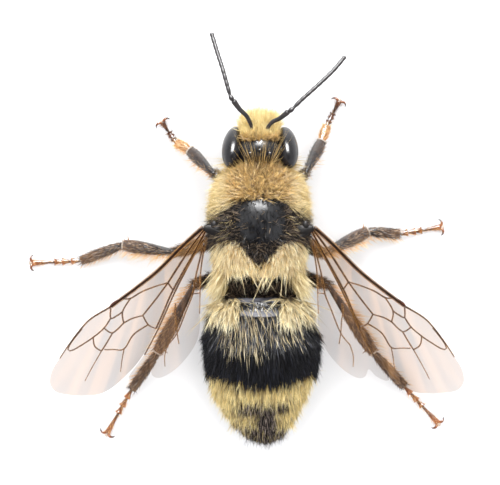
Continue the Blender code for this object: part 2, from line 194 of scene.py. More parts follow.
class Surface:
    """Rings of points, closed around and capped at both ends, that hairs can be planted on."""

    def __init__(self, rings):
        self.rings = np.asarray(rings, float)
        around = np.roll(self.rings, -1, axis=1)
        near, far = self.rings[:-1], self.rings[1:]
        self.corners = np.stack([near, around[:-1], around[1:], far], axis=2)
        along = unit(far + around[1:] - near - around[:-1])
        across = unit(around[:-1] + around[1:] - near - far)
        normal = np.cross(along, across)
        middle = self.rings.mean(axis=1)
        outward = self.corners.mean(axis=2) - ((middle[:-1] + middle[1:]) / 2)[:, None]
        normal = unit(normal) * np.sign((normal * outward).sum(axis=-1).mean())
        diagonal = self.corners[:, :, 2] - self.corners[:, :, 0]
        other = self.corners[:, :, 3] - self.corners[:, :, 1]
        self.area = np.linalg.norm(np.cross(diagonal, other), axis=-1) / 2
        self.cells = Roots(self.corners.mean(axis=2), normal, along, across)

    def ends(self):
        """The middles of the first ring and of the last."""
        return self.rings[0].mean(axis=0), self.rings[-1].mean(axis=0)

    def mesh(self):
        """(points, triangles) of the whole surface with its two caps."""
        count, sides = self.rings.shape[:2]
        index = np.arange(count * sides).reshape(count, sides)
        turned = np.roll(index, -1, axis=1)
        a, b, c, d = index[:-1].ravel(), turned[:-1].ravel(), turned[1:].ravel(), index[1:].ravel()
        faces = [np.stack([a, b, c], 1), np.stack([a, c, d], 1)]
        ends = np.full(sides, count * sides), np.full(sides, count * sides + 1)
        faces.append(np.stack([turned[0], index[0], ends[0]], 1))
        faces.append(np.stack([index[-1], turned[-1], ends[1]], 1))
        points = np.concatenate([self.rings.reshape(-1, 3), self.rings[[0, -1]].mean(axis=1)])
        return points, np.concatenate(faces)

    def plant(self, density):
        """Roots strewn over the surface, density(cells) of them per square millimetre."""
        wanted = density(self.cells) * self.area
        number = np.floor(wanted + rng.random(wanted.shape)).astype(int).ravel()
        cell = np.repeat(np.arange(number.size), number)
        s, t = rng.random((2, len(cell), 1))
        corners = self.corners.reshape(-1, 4, 3)[cell]
        place = (corners[:, 0] * (1 - s) + corners[:, 1] * s) * (1 - t)
        place += (corners[:, 3] * (1 - s) + corners[:, 2] * s) * t
        row, column = np.divmod(cell, self.area.shape[1])
        spot = np.stack([(column + s[:, 0]) / self.area.shape[1],
                         (row + t[:, 0]) / self.area.shape[0]], 1)
        cells = (self.cells.normal, self.cells.along, self.cells.across)
        return Roots(place, *(part.reshape(-1, 3)[cell] for part in cells), spot)


def tube(path, half_widths, half_heights=None, sides=16):
    """A Surface around path. Widths are measured level and heights square to them."""
    path = np.asarray(path, float)
    half_heights = half_widths if half_heights is None else half_heights
    run = unit(np.gradient(path, axis=0))
    level = unit(np.cross(run, (0, 0, 1)))
    rise = np.cross(level, run)
    angles = 2 * np.pi * np.arange(sides) / sides
    wide = np.asarray(half_widths, float)[:, None, None] * np.cos(angles)[None, :, None]
    high = np.asarray(half_heights, float)[:, None, None] * np.sin(angles)[None, :, None]
    return Surface(path[:, None] + wide * level[:, None] + high * rise[:, None])


def profile(values, count):
    """A list of girths spread smoothly over count places."""
    knots = np.linspace(0, 1, len(values))
    return catmull_rom(knots, np.asarray(values, float)[:, None], np.linspace(0, 1, count))[:, 0]


def limb(points, widths, heights=None, count=12, sides=16, scale=1.0):
    """A tube of count rings on a smooth path, with girths that change smoothly along it."""
    high = None if heights is None else scale * profile(heights, count)
    return tube(smooth_path(points, count), scale * profile(widths, count), high, sides)


def ball(centre, radii, lean=0.0, turn=0.0, sides=48, count=25):
    """An ellipsoid as a Surface, leaned about X and then turned about the vertical."""
    falls = np.linspace(0.02, np.pi - 0.02, count)
    angles = 2 * np.pi * np.arange(sides) / sides
    x = np.sin(falls)[:, None] * np.cos(angles) * radii[0]
    y = np.sin(falls)[:, None] * np.sin(angles) * radii[1]
    z = np.cos(falls)[:, None] * np.ones(sides) * radii[2]
    y, z = y * math.cos(lean) - z * math.sin(lean), y * math.sin(lean) + z * math.cos(lean)
    x, y = x * math.cos(turn) - y * math.sin(turn), x * math.sin(turn) + y * math.cos(turn)
    return Surface(np.stack([x, y, z], axis=-1) + np.asarray(centre, float))


# ---- hairs

# A hair's width from root to tip, in shares of its widest, by the number of points along it.
BLADES = {4: [0.75, 1.0, 0.7, 0.0], 5: [0.7, 1.0, 0.85, 0.6, 0.0]}
PATCH = 0.003  # how wide each hair's patch is on its coat's map
LEG_CELLS = 6  # the map of a leg's coat holds a square of cells, one for each length of each leg
LOWEST_HAIR = 0.02  # no hair reaches nearer to the floor than this
LIFT_SPREAD = 7  # how the locks' lifts differ, in degrees
LENGTH_SPREAD = 0.14  # how the locks' lengths differ, as a share
TWIST_SPREAD = 50  # how the blades' flat sides turn away from the skin, in degrees


def hair_paths(roots, lie, lift, length, fall, bow, stops):
    """Points of each hair from root to tip, (hairs, points, 3).

    lie is the way it lies and lift its angle off the skin in degrees, or None where the hair leaves
    the skin straight along lie. fall pulls the tip over by bow times the hair's length.
    """
    if lift is None:
        start = unit(lie)
    else:
        flat = unit(lie - roots.normal * (lie * roots.normal).sum(-1, keepdims=True))
        angle = np.radians(lift)[:, None]
        start = flat * np.cos(angle) + roots.normal * np.sin(angle)
    t = np.linspace(0, 1, stops)[None, :, None]
    course = start[:, None] * t + np.asarray(fall, float) * bow * t**2
    return roots.place[:, None] + length[:, None, None] * course


def locks(roots, paths, hairs, spread, pinch, ragged, wave):
    """Splits each path into a lock of hairs that draws together towards its tip."""
    each = np.repeat(np.arange(len(paths)), hairs)
    whole = paths[each]
    count, stops = whole.shape[:2]
    t = np.linspace(0, 1, stops)[None, :, None]
    offset = (roots.across[each] * rng.normal(0, spread, (count, 1))
              + roots.along[each] * rng.normal(0, spread, (count, 1)))
    stretch = np.clip(rng.normal(1, ragged, (count, 1, 1)), 0.5, 1.4)
    base = whole[:, :1]
    bent = base + (whole - base) * stretch + offset[:, None] * (1 - pinch * t)
    swing = rng.normal(0, 1, (len(paths), 1, 3))[each] + rng.normal(0, 0.3, (count, 1, 3))
    bent = bent + swing * wave * np.sin(t * np.pi * 1.5) * t
    bunch = roots.picked(each)
    bunch.place = bunch.place + offset
    return bunch, bent


def blades(paths, roots, width):
    """Narrow tapered strips along paths: (points, triangles, UV maps)."""
    count, stops = paths.shape[:2]
    run = unit(np.gradient(paths, axis=1))
    angle = np.radians(rng.normal(0, TWIST_SPREAD, count))[:, None, None]
    normal = roots.normal[:, None] * np.cos(angle) + roots.across[:, None] * np.sin(angle)
    side = unit(np.cross(run, normal)) * width / 2 * np.array(BLADES[stops])[None, :, None]
    pairs = np.stack([paths[:, :-1] - side[:, :-1], paths[:, :-1] + side[:, :-1]], axis=2)
    points = np.concatenate([pairs.reshape(count, -1, 3), paths[:, -1:]], axis=1)
    per_hair = points.shape[1]
    pattern = []
    for i in range(0, per_hair - 3, 2):
        pattern += [(i, i + 1, i + 3), (i, i + 3, i + 2)]
    pattern.append((per_hair - 3, per_hair - 2, per_hair - 1))
    starts = np.arange(count)[:, None, None] * per_hair
    faces = (np.array(pattern)[None] + starts).reshape(-1, 3)
    t = np.append(np.repeat(np.linspace(0, 1, stops)[:-1], 2), 1.0)
    edge = np.append(np.tile([0.0, 1.0], stops - 1), 0.5)
    spot = roots.spot[:, None] + np.stack([edge - 0.5, t], 1)[None] * PATCH
    shade = np.stack([np.broadcast_to(rng.random((count, 1)), (count, per_hair)),
                      np.broadcast_to(t, (count, per_hair))], axis=-1)
    maps = {"OFBake": spot.reshape(-1, 2), "Strand": shade.reshape(-1, 2)}
    return points.reshape(-1, 3), faces, maps


class Coat:
    """Collects the hairs of one coat piece and makes them into one mesh.

    rows are the shares of the skin's length that the piece's map spreads over.
    """

    def __init__(self, name, finish, slot, rows):
        self.name, self.finish, self.slot, self.rows, self.parts = name, finish, slot, rows, []

    def place_spots(self, roots, cell):
        """Puts the roots' spots on this coat's map: in one cell of it, or spread over its rows."""
        if cell is None:
            low, high = self.rows
            share = np.clip((roots.spot[:, 1] - low) / (high - low), 0, 1)
            roots.spot = 0.01 + 0.97 * np.stack([roots.spot[:, 0], share], 1)
        else:
            roots.spot = (0.02 + 0.94 * roots.spot + cell) / LEG_CELLS

    def build(self):
        points, faces = joined([part[:2] for part in self.parts])
        maps = {label: np.concatenate([part[2][label] for part in self.parts])
                for label in ("OFBake", "Strand")}
        add_mesh(self.name, points, faces, self.finish, maps=maps)


def toward(x, y, z):
    """A direction for each hair, from single numbers or arrays."""
    return np.stack(np.broadcast_arrays(np.asarray(x, float), y, z), axis=-1)


def grow(coat, surface, density, lie, lift, length, width=0.02, hairs=2, spread=0.05, pinch=0.6,
         fall=(0, -0.3, -0.4), bow=0.25, wave=0.0, ragged=0.18, sway=0.2, stops=4, cell=None):
    """Plants locks of hairs where density says, and adds them to a coat.

    density counts hairs per square millimetre. lie, lift and length may be functions of the roots.
    Where lie is three plain numbers, the first counts for each millimetre of x, so that the hairs
    fan out from the middle or lean in to it. sway strews the way that the locks lie, ragged their
    hairs' lengths.
    """
    roots = surface.plant(lambda cells: density(cells) / hairs)
    count = len(roots.place)
    if count == 0:
        return
    coat.place_spots(roots, cell)
    if isinstance(lie, tuple):
        lie = toward(lie[0] * roots.x, *lie[1:])
    lie, lift, length = (value(roots) if callable(value) else value for value in (lie, lift, length))
    lie = np.broadcast_to(np.asarray(lie, float), (count, 3)) + rng.normal(0, sway, (count, 3))
    if lift is not None:
        lift = np.clip(lift + rng.normal(0, LIFT_SPREAD, count), 4, 88)
    length = length * np.clip(rng.normal(1, LENGTH_SPREAD, count), 0.6, 1.4)
    paths = hair_paths(roots, lie, lift, length, fall, bow, stops)
    bunch, bent = locks(roots, paths, hairs, spread, pinch, ragged, wave)
    bent[..., 2] = np.maximum(bent[..., 2], LOWEST_HAIR)
    coat.parts.append(blades(bent, bunch, width))


# ---- materials


def new_material(name, **inputs):
    """A material and its Principled shader, with constants set straight on the shader."""
    made = bpy.data.materials.new(name)
    made.use_nodes = True
    shader = made.node_tree.nodes["Principled BSDF"]
    for socket, value in inputs.items():
        shader.inputs[socket.replace("_", " ")].default_value = value
    return made, made.node_tree, shader


def add_node(tree, kind, inputs=(), **settings):
    node = tree.nodes.new(kind)
    for key, value in settings.items():
        setattr(node, key, value)
    for socket, value in dict(inputs).items():
        if isinstance(value, bpy.types.NodeSocket):
            tree.links.new(value, node.inputs[socket])
        else:
            node.inputs[socket].default_value = value
    return node


def add_ramp(tree, factor, stops):
    """A colour ramp through stops of (place, (r, g, b))."""
    node = add_node(tree, "ShaderNodeValToRGB", {"Fac": factor})
    while len(node.color_ramp.elements) < len(stops):
        node.color_ramp.elements.new(0.5)
    for element, (place, colour) in zip(node.color_ramp.elements, stops):
        element.position = place
        element.color = (*colour, 1)
    return node.outputs["Color"]


def add_mix(tree, factor, first, second, blend="MIX"):
    node = add_node(tree, "ShaderNodeMix", data_type="RGBA", blend_type=blend)
    for number, value in ((0, factor), (6, first), (7, second)):
        socket = node.inputs[number]
        if isinstance(value, bpy.types.NodeSocket):
            tree.links.new(value, socket)
        elif isinstance(value, tuple):
            socket.default_value = (*value, 1)
        else:
            socket.default_value = value
    return node.outputs[2]


def add_noise(tree, per_mm, detail=3.0, stretch=(1, 1, 1)):
    """Noise in the piece's own space, with per_mm features to the millimetre."""
    place = add_node(tree, "ShaderNodeTexCoord").outputs["Object"]
    sized = add_node(tree, "ShaderNodeMapping", {"Vector": place, "Scale": stretch}).outputs[0]
    noise = add_node(tree, "ShaderNodeTexNoise",
                     {"Vector": sized, "Scale": per_mm / MM, "Detail": detail})
    return noise.outputs["Fac"]


def add_bump(tree, shader, height, depth_mm):
    bump = add_node(tree, "ShaderNodeBump",
                    {"Height": height, "Distance": depth_mm * MM, "Strength": 1.0})
    tree.links.new(bump.outputs["Normal"], shader.inputs["Normal"])


def map_parts(tree, label):
    """The two numbers, X and Y, that a mesh's own map holds at each place."""
    places = add_node(tree, "ShaderNodeUVMap", uv_map=label).outputs["UV"]
    return add_node(tree, "ShaderNodeSeparateXYZ", {"Vector": places}).outputs


def two_tones(tree, noise, dark, light, low=0.35, high=0.7):
    """A colour that goes from dark to light as the noise rises from low to high."""
    return add_ramp(tree, noise, [(low, dark), (high, light)])


def paint(tree, shader, colour):
    tree.links.new(colour, shader.inputs["Base Color"])


# Each kind of hair: its colours at the root, in the middle, at the tip and in its darker patches,
# then what else sets it apart.
HAIRS = {
    # The black hair's bluish odd share is painted sheen: the reflection on glossy strands painted into
    # some hairs' colour.
    "black": ((0.002,) * 3, (0.004, 0.004, 0.005), (0.012, 0.012, 0.015), (0.006, 0.005, 0.005),
              dict(roughness=0.4, gloss=0.15, sheen=0.0, odd=(0.07, (0.06, 0.065, 0.09)))),
    "saddle": ((0.002,) * 3, (0.008, 0.006, 0.005), (0.016, 0.012, 0.01), (0.03, 0.022, 0.015),
               dict(patchy=0.4, roughness=0.45, gloss=0.11, sheen=0.0,
                    odd=(0.15, (0.25, 0.18, 0.12)))),
    "face": ((0.18, 0.1, 0.025), (0.76, 0.55, 0.16), (1.0, 0.9, 0.5), (0.58, 0.38, 0.11), {}),
    "collar": ((0.04, 0.02, 0.007), (0.5, 0.29, 0.07), (0.96, 0.68, 0.25), (0.2, 0.105, 0.03),
               dict(patch_per_mm=4.5, patchy=0.6)),
    "shoulders": ((0.14, 0.08, 0.022), (0.6, 0.41, 0.115), (0.88, 0.73, 0.36), (0.4, 0.25, 0.07),
                  dict(patch_per_mm=3.0)),
    "lobes": ((0.07, 0.035, 0.012), (0.72, 0.52, 0.2), (1.0, 0.94, 0.66), (0.48, 0.29, 0.08),
              dict(spread=0.4)),
    "flanks": ((0.12, 0.08, 0.03), (0.7, 0.54, 0.24), (1.0, 0.92, 0.62), (0.5, 0.36, 0.14), {}),
    "pale": ((0.03, 0.02, 0.01), (0.82, 0.66, 0.34), (1.0, 0.96, 0.72), (0.46, 0.32, 0.13),
             dict(spread=0.4)),
    "gold": ((0.05, 0.03, 0.012), (0.5, 0.37, 0.17), (0.96, 0.84, 0.52), (0.22, 0.13, 0.05),
             dict(spread=0.5)),
    "tail": ((0.06, 0.035, 0.01), (0.6, 0.42, 0.11), (0.98, 0.86, 0.46), (0.3, 0.18, 0.05),
             dict(spread=0.5)),
    "tail_black": ((0.002,) * 3, (0.006, 0.005, 0.005), (0.024, 0.017, 0.014), (0.012, 0.008, 0.006),
                   dict(roughness=0.45, gloss=0.15, sheen=0.0, odd=(0.14, (0.5, 0.4, 0.34)))),
    "leg": ((0.01, 0.006, 0.005), (0.03, 0.018, 0.012), (0.1, 0.06, 0.035), (0.02, 0.012, 0.008),
            dict(patch_per_mm=6.0, spread=0.5, sheen=0.0, odd=(0.34, (0.4, 0.24, 0.12)))),
    "fringe": ((0.4, 0.16, 0.035), (0.86, 0.5, 0.17), (1.0, 0.8, 0.44), (0.62, 0.3, 0.08), {}),
}


def hair_material(kind, root, middle, tip, mottle, patch_per_mm=2.0, patchy=0.5, roughness=0.55,
                  spread=0.25, gloss=0.4, sheen=0.12, odd=None):
    """Hair that changes from root to tip, from hair to hair and from patch to patch.

    odd is the share of hairs that have a colour of their own, and that colour; in the black hair that
    bluish share is painted sheen.
    """
    made, tree, shader = new_material("hair_" + kind, Roughness=roughness, Sheen_Weight=sheen,
                                      Specular_IOR_Level=gloss)
    strand = map_parts(tree, "Strand")
    length_tone = add_ramp(tree, strand["Y"], [(0.0, root), (0.45, middle), (1.0, tip)])
    low, high = 1 - spread, 1 + spread
    hair_tone = two_tones(tree, strand["X"], (low, low, low * 0.96), (high,) * 3, 0.0, 1.0)
    varied = add_mix(tree, 1.0, length_tone, hair_tone, "MULTIPLY")
    patches = add_noise(tree, patch_per_mm, 2.0)
    share = two_tones(tree, patches, (0, 0, 0), (patchy,) * 3, 0.42, 0.66)
    tone = add_mix(tree, share, varied, mottle)
    if odd:
        share, colour = odd
        chosen = two_tones(tree, strand["X"], (1, 1, 1), (0, 0, 0), share - 0.01, share + 0.01)
        tone = add_mix(tree, chosen, tone, colour)
    paint(tree, shader, tone)
    return made


def shell_material(name, dark, light, per_mm=4.0, roughness=0.3, bump_mm=0.004, **inputs):
    """Horny shell: two tones in fine noise, with a fine grain in its gloss."""
    made, tree, shader = new_material(name, Roughness=roughness, **inputs)
    paint(tree, shader, two_tones(tree, add_noise(tree, per_mm, 4.0), dark, light))
    add_bump(tree, shader, add_noise(tree, per_mm * 8, 2.0), bump_mm)
    return made


def leg_material(name, dull_orange, bright_orange):
    """Dark shining horn that turns orange where the piece's map says."""
    made, tree, shader = new_material(name, Roughness=0.2, Specular_IOR_Level=0.5)
    grain = add_noise(tree, 4.0, 4.0)
    dark = two_tones(tree, grain, (0.008, 0.006, 0.006), (0.026, 0.016, 0.012))
    orange = two_tones(tree, grain, dull_orange, bright_orange)
    paint(tree, shader, add_mix(tree, map_parts(tree, "Marks")["X"], dark, orange))
    add_bump(tree, shader, add_noise(tree, 14.0, 2.0), 0.012)
    return made


# ---- the skin and its markings


def plate_rise(y, up):
    """How far the rear edge of a plate stands proud of the next one, round the abdomen."""
    proud = np.zeros(np.broadcast(y, up).shape)
    for edge in PLATE_EDGES:
        ahead = y - (edge + PLATE_CURVE * (1 - np.clip(up, 0, 1)))
        proud += np.where(ahead >= 0, np.exp(-np.maximum(ahead, 0) / 0.3), 0)
    return PLATE_STEP * proud * ease(-2.7, -2.9, y)


def skin_surface():
    outline = np.array(SKIN_OUTLINE)
    y = np.arange(outline[0, 0], outline[-1, 0], -RING_STEP)
    middle, half_width, top, bottom = catmull_rom(-outline[:, 0], outline[:, 1:], -y).T[:, :, None]
    angles = 2 * np.pi * np.arange(RING_SIDES) / RING_SIDES
    across, up = np.cos(angles), np.sin(angles)
    waterline = bottom + WATERLINE * (top - bottom)
    rise = plate_rise(y[:, None], up)
    reach = np.where(up > 0, top - waterline, waterline - bottom)
    x = middle + (half_width + rise) * across
    z = waterline + (reach + rise) * up
    return Surface(np.stack([x, np.broadcast_to(y[:, None], x.shape), z], axis=-1))


def band(y, front, back, soft=0.12):
    """1 between front and back along the body, fading out over soft on either side."""
    return ease(front + soft, front - soft, y) * ease(back - soft, back + soft, y)


def within(x, reach, soft=0.12):
    """1 where x is nearer to the middle than reach."""
    return ease(reach + soft, reach - soft, np.abs(x))


def beyond(x, reach, soft=0.12):
    return 1 - within(x, reach, soft)


def collar_edge(x):
    """How far back the golden collar's roots reach."""
    return 2.05 - 0.6 * ease(0.6, 2.0, np.abs(x))


def lobe_edge(x):
    """The front of the two pale lobes on the scutellum, which dips between them."""
    return -1.12 + 1.22 * ease(0.0, 1.4, np.abs(x)) - 0.25 * ease(1.5, 2.3, np.abs(x))


def tailward(c):
    """The place along the tail, where the bands curve forward at the sides."""
    return c.y - 0.45 * ease(0.5, 2.3, np.abs(c.x - 0.05))


def scutum_patch(c):
    """Where the middle of the thorax is bare and shining."""
    return ease(1.45, 1.0, np.hypot(c.x - 0.06, c.y - 0.98)) * ease(4.6, 4.9, c.z)


def rims(c):
    """The shining rear edges of the first two plates, which show through the coat; their shine is also
    painted into the skin's colour as a grey-blue sheen.
    """
    first = band(c.y, -2.78, -3.02, 0.04) * within(c.x + 0.35, 1.15)
    second = band(c.y, -3.46, -3.72, 0.04) * within(c.x + 0.07, 0.85)
    return (first + second) * ease(3.2, 3.6, c.z)


def yellow_share(c):
    """How yellow the bee is marked at each place: 0 is black and 1 is yellow."""
    tail = tailward(c)
    return np.maximum.reduce([
        ease(4.75, 4.9, c.y),
        band(c.y, 3.45, collar_edge(c.x)),
        band(c.y, lobe_edge(c.x), -1.3),
        0.6 * band(c.y, -2.75, -3.85) * beyond(c.x, 1.2, 0.3),
        band(tail, -6.8, -7.65),
        band(tail, -7.65, -9.1) * beyond(c.x, 1.0, 0.3),
    ])


def build_skin(surface, finish):
    points, faces = surface.mesh()
    places = Roots(points)
    marks = np.stack([yellow_share(places), rims(places)], 1)
    flesh = ["head", "neck", "thorax", "waist"] + [f"abdomen_{n}" for n in range(1, 8)]
    add_mesh("skin", points, faces, finish, flesh, {"Marks": marks})


def skin_material():
    made, tree, shader = new_material("bee_skin", Specular_IOR_Level=0.36)
    marks = map_parts(tree, "Marks")
    grain = add_noise(tree, 3.0, 4.0)
    black = two_tones(tree, grain, (0.003, 0.003, 0.004), (0.01, 0.01, 0.012))
    ochre = two_tones(tree, grain, (0.014, 0.008, 0.004), (0.05, 0.03, 0.012))
    streaks = add_noise(tree, 2.0, 3.0, (0.5, 6.0, 1.0))
    # The rims' grey-blue is painted sheen: the gloss of black horn painted in as a lighter colour.
    rim_horn_sheen = two_tones(tree, streaks, (0.035, 0.036, 0.045), (0.22, 0.22, 0.26), high=0.65)
    paint(tree, shader, add_mix(tree, marks["Y"], add_mix(tree, marks["X"], black, ochre), rim_horn_sheen))
    scratches = add_noise(tree, 9.0, 3.0, (1.0, 0.3, 1.0))
    gloss = two_tones(tree, scratches, (0.2,) * 3, (0.4,) * 3, 0.3)
    tree.links.new(add_mix(tree, marks["Y"], gloss, (0.7,) * 3), shader.inputs["Roughness"])
    add_bump(tree, shader, scratches, 0.012)
    return made


# ---- the coat


def grow_head(skin, face, collar, shoulders, black):
    grow(face, skin,
         lambda c: 3700 * ease(4.8, 4.98, c.y) * within(c.x, 0.84, 0.06) * ease(1.5, 1.9, c.z),
         (0.1, 1.1, 0.1), 40, lambda r: 0.42 + 0.36 * ease(4.9, 5.35, r.y), 0.015, hairs=5,
         spread=0.04, pinch=0.2, fall=(0, 0.3, -0.25), bow=0.2, sway=0.3)
    # The brow, where the pile stands darker over the bare crown.
    grow(collar, skin, lambda c: 1300 * band(c.y, 5.12, 4.78, 0.07) * within(c.x, 0.86, 0.06)
         * ease(-0.2, 0.1, c.up), (0.2, 0.7, 0.6), 60, 0.36, 0.017, hairs=4, spread=0.03, wave=0.05,
         sway=0.8)
    # The beard below the face and the pale hair behind the eyes.
    grow(face, skin, lambda c: 520 * ease(4.3, 4.6, c.y) * ease(2.0, 1.7, c.z), (0.2, 0.8, -0.6),
         35, 0.5, 0.022, hairs=5, pinch=0.4, fall=(0, 0.1, -0.5))
    grow(shoulders, skin,
         lambda c: 330 * band(c.y, 3.85, 3.45) * ease(3.9, 3.5, c.z) * beyond(c.x, 0.7, 0.15),
         lambda r: toward(1.5 * np.sign(r.x), -0.1, 0.35), 40, 1.0, 0.013, pinch=0.1, ragged=0.25,
         sway=0.25)
    # Long strands that fan forward from one spot on the nape over the crown.
    grow(collar, skin,
         lambda c: 350 * band(c.y, 3.34, 3.0, 0.04) * within(c.x, 0.3, 0.08) * ease(0, 0.2, c.up),
         (2.3, 1.0, 0.34), None, lambda r: 1.55 + 0.35 * r.side, 0.012, spread=0.012, pinch=0.3,
         fall=(0, 0.7, -0.5), bow=0.3, wave=0.05, sway=0.12, stops=5)
    grow(black, skin,
         lambda c: 60 * band(c.y, 4.75, 3.6) * beyond(c.x, 0.9, 0.2) * ease(-0.2, 0.1, c.up),
         (0.6, 0.6, 0.3), 50, 0.32, 0.014)


def grow_thorax(skin, collar, shoulders, saddle, lobes, flanks):
    def collar_area(c):
        nape = ease(0.5, 0.15, np.hypot(c.x, c.y - 3.0))
        return band(c.y, 3.42, collar_edge(c.x), 0.2) * ease(2.0, 2.7, c.z) * (1 - 0.5 * nape)

    def from_nape(r):
        return toward(r.x, 0.8 * (r.y - 2.3), 0.2)

    grow(collar, skin, lambda c: 1900 * collar_area(c) * within(c.x, 1.1, 0.35), from_nape, 62,
         0.52, 0.019, spread=0.035, pinch=0.85, fall=(0, 0.1, -0.3), bow=0.3, wave=0.13,
         ragged=0.25, sway=0.8, stops=5, hairs=6)
    grow(shoulders, skin, lambda c: 2300 * collar_area(c) * beyond(c.x, 1.1, 0.35), from_nape, 40,
         0.64, 0.015, hairs=4, spread=0.035, pinch=0.25, wave=0.03, ragged=0.25, sway=0.4)
    # The black saddle, longest over the wings' roots, and flecks of it in the collar.
    def over_wing(r):
        return band(r.y, 0.95, -0.35, 0.25) * ease(0.9, 1.4, r.side) * ease(3.9, 4.5, r.z)

    grow(saddle, skin, lambda c: 1500 * band(c.y, collar_edge(c.x), lobe_edge(c.x), 0.25)
         * (1 - 0.97 * scutum_patch(c)) * ease(2.4, 3.0, c.z),
         lambda r: toward(0.9 * r.x, -0.3 * (0.6 - r.y), 0.1), lambda r: 46 - 16 * over_wing(r),
         lambda r: 0.36 + 0.16 * ease(0.8, 2.0, r.side) + 0.34 * over_wing(r), 0.018, hairs=4,
         spread=0.04, pinch=0.4, ragged=0.25, sway=0.5)
    grow(saddle, skin, lambda c: 300 * collar_area(c) * within(c.x, 1.1, 0.3), from_nape, 58, 0.5,
         0.018, hairs=3, spread=0.03, wave=0.06, sway=0.8)
    grow(shoulders, skin, lambda c: 110 * band(c.y, collar_edge(c.x), lobe_edge(c.x), 0.1)
         * beyond(c.x, 1.25, 0.3) * ease(-0.25, 0.15, c.up), (0.9, -0.5, 0.1), 50, 0.5, 0.015,
         spread=0.03, sway=0.5)
    # Short black hair in the gap before the abdomen.
    grow(saddle, skin, lambda c: 1100 * band(c.y, -1.95, -2.78, 0.08) * ease(2.5, 3.0, c.z),
         (0.3, -1, 0.2), 34, 0.36, hairs=4, pinch=0.4, sway=0.35)
    # Two pale lobes, whose hairs lean in towards each other, then separate locks over the gap.
    grow(lobes, skin, lambda c: 2700 * band(c.y, lobe_edge(c.x), -1.22, 0.14) * ease(2.6, 3.3, c.z),
         lambda r: toward(inward(r, 0.75), -1, 0.05), lambda r: 44 - 18 * ease(0.0, -1.2, r.y),
         lambda r: 0.5 + 0.1 * ease(-0.2, -1.0, r.y), 0.018, hairs=7, spread=0.045, pinch=0.7,
         wave=0.03, sway=0.24)
    grow(collar, skin, lambda c: 900 * band(c.y, lobe_edge(c.x) - 0.05, lobe_edge(c.x) - 0.5, 0.14)
         * within(c.x, 1.5, 0.3) * beyond(c.x, 0.25, 0.15),
         lambda r: toward(inward(r, 0.75), -1, 0.05), 42, 0.5, 0.017, hairs=4, spread=0.04,
         pinch=0.5, wave=0.03, sway=0.3)
    grow(lobes, skin, lambda c: 135 * band(c.y, -0.75, -1.3, 0.12) * ease(3.0, 3.6, c.z),
         lambda r: toward(inward(r, 0.8), -1, 0.12), 22,
         lambda r: 1.1 + 0.3 * ease(1.2, 0.2, r.side), hairs=6, spread=0.035, pinch=0.93,
         fall=(0, -0.3, -0.6), bow=0.12, wave=0.06, sway=0.16, stops=5)
    grow(flanks, skin, lambda c: 430 * band(c.y, 3.2, -1.9, 0.2) * ease(3.1, 2.6, c.z),
         (0.4, -0.7, -0.4), 35, 0.55, 0.026, hairs=6)
    # The long pale hair that closes the sides of the waist.
    grow(flanks, skin,
         lambda c: 650 * band(c.y, -1.2, -2.3, 0.15) * beyond(c.x, 1.5, 0.1) * ease(2.0, 2.5, c.z),
         lambda r: toward(0.7 * np.sign(r.x), -1, 0.25), None, 1.1, 0.018, hairs=6, pinch=0.8,
         fall=(0, -0.3, -0.3), wave=0.07, sway=0.16, stops=5)


def inward(roots, lean):
    """How far a hair on the scutellum leans in towards the middle, less towards the sides."""
    return roots.x * (0.08 - lean * ease(1.9, 0.9, roots.side))


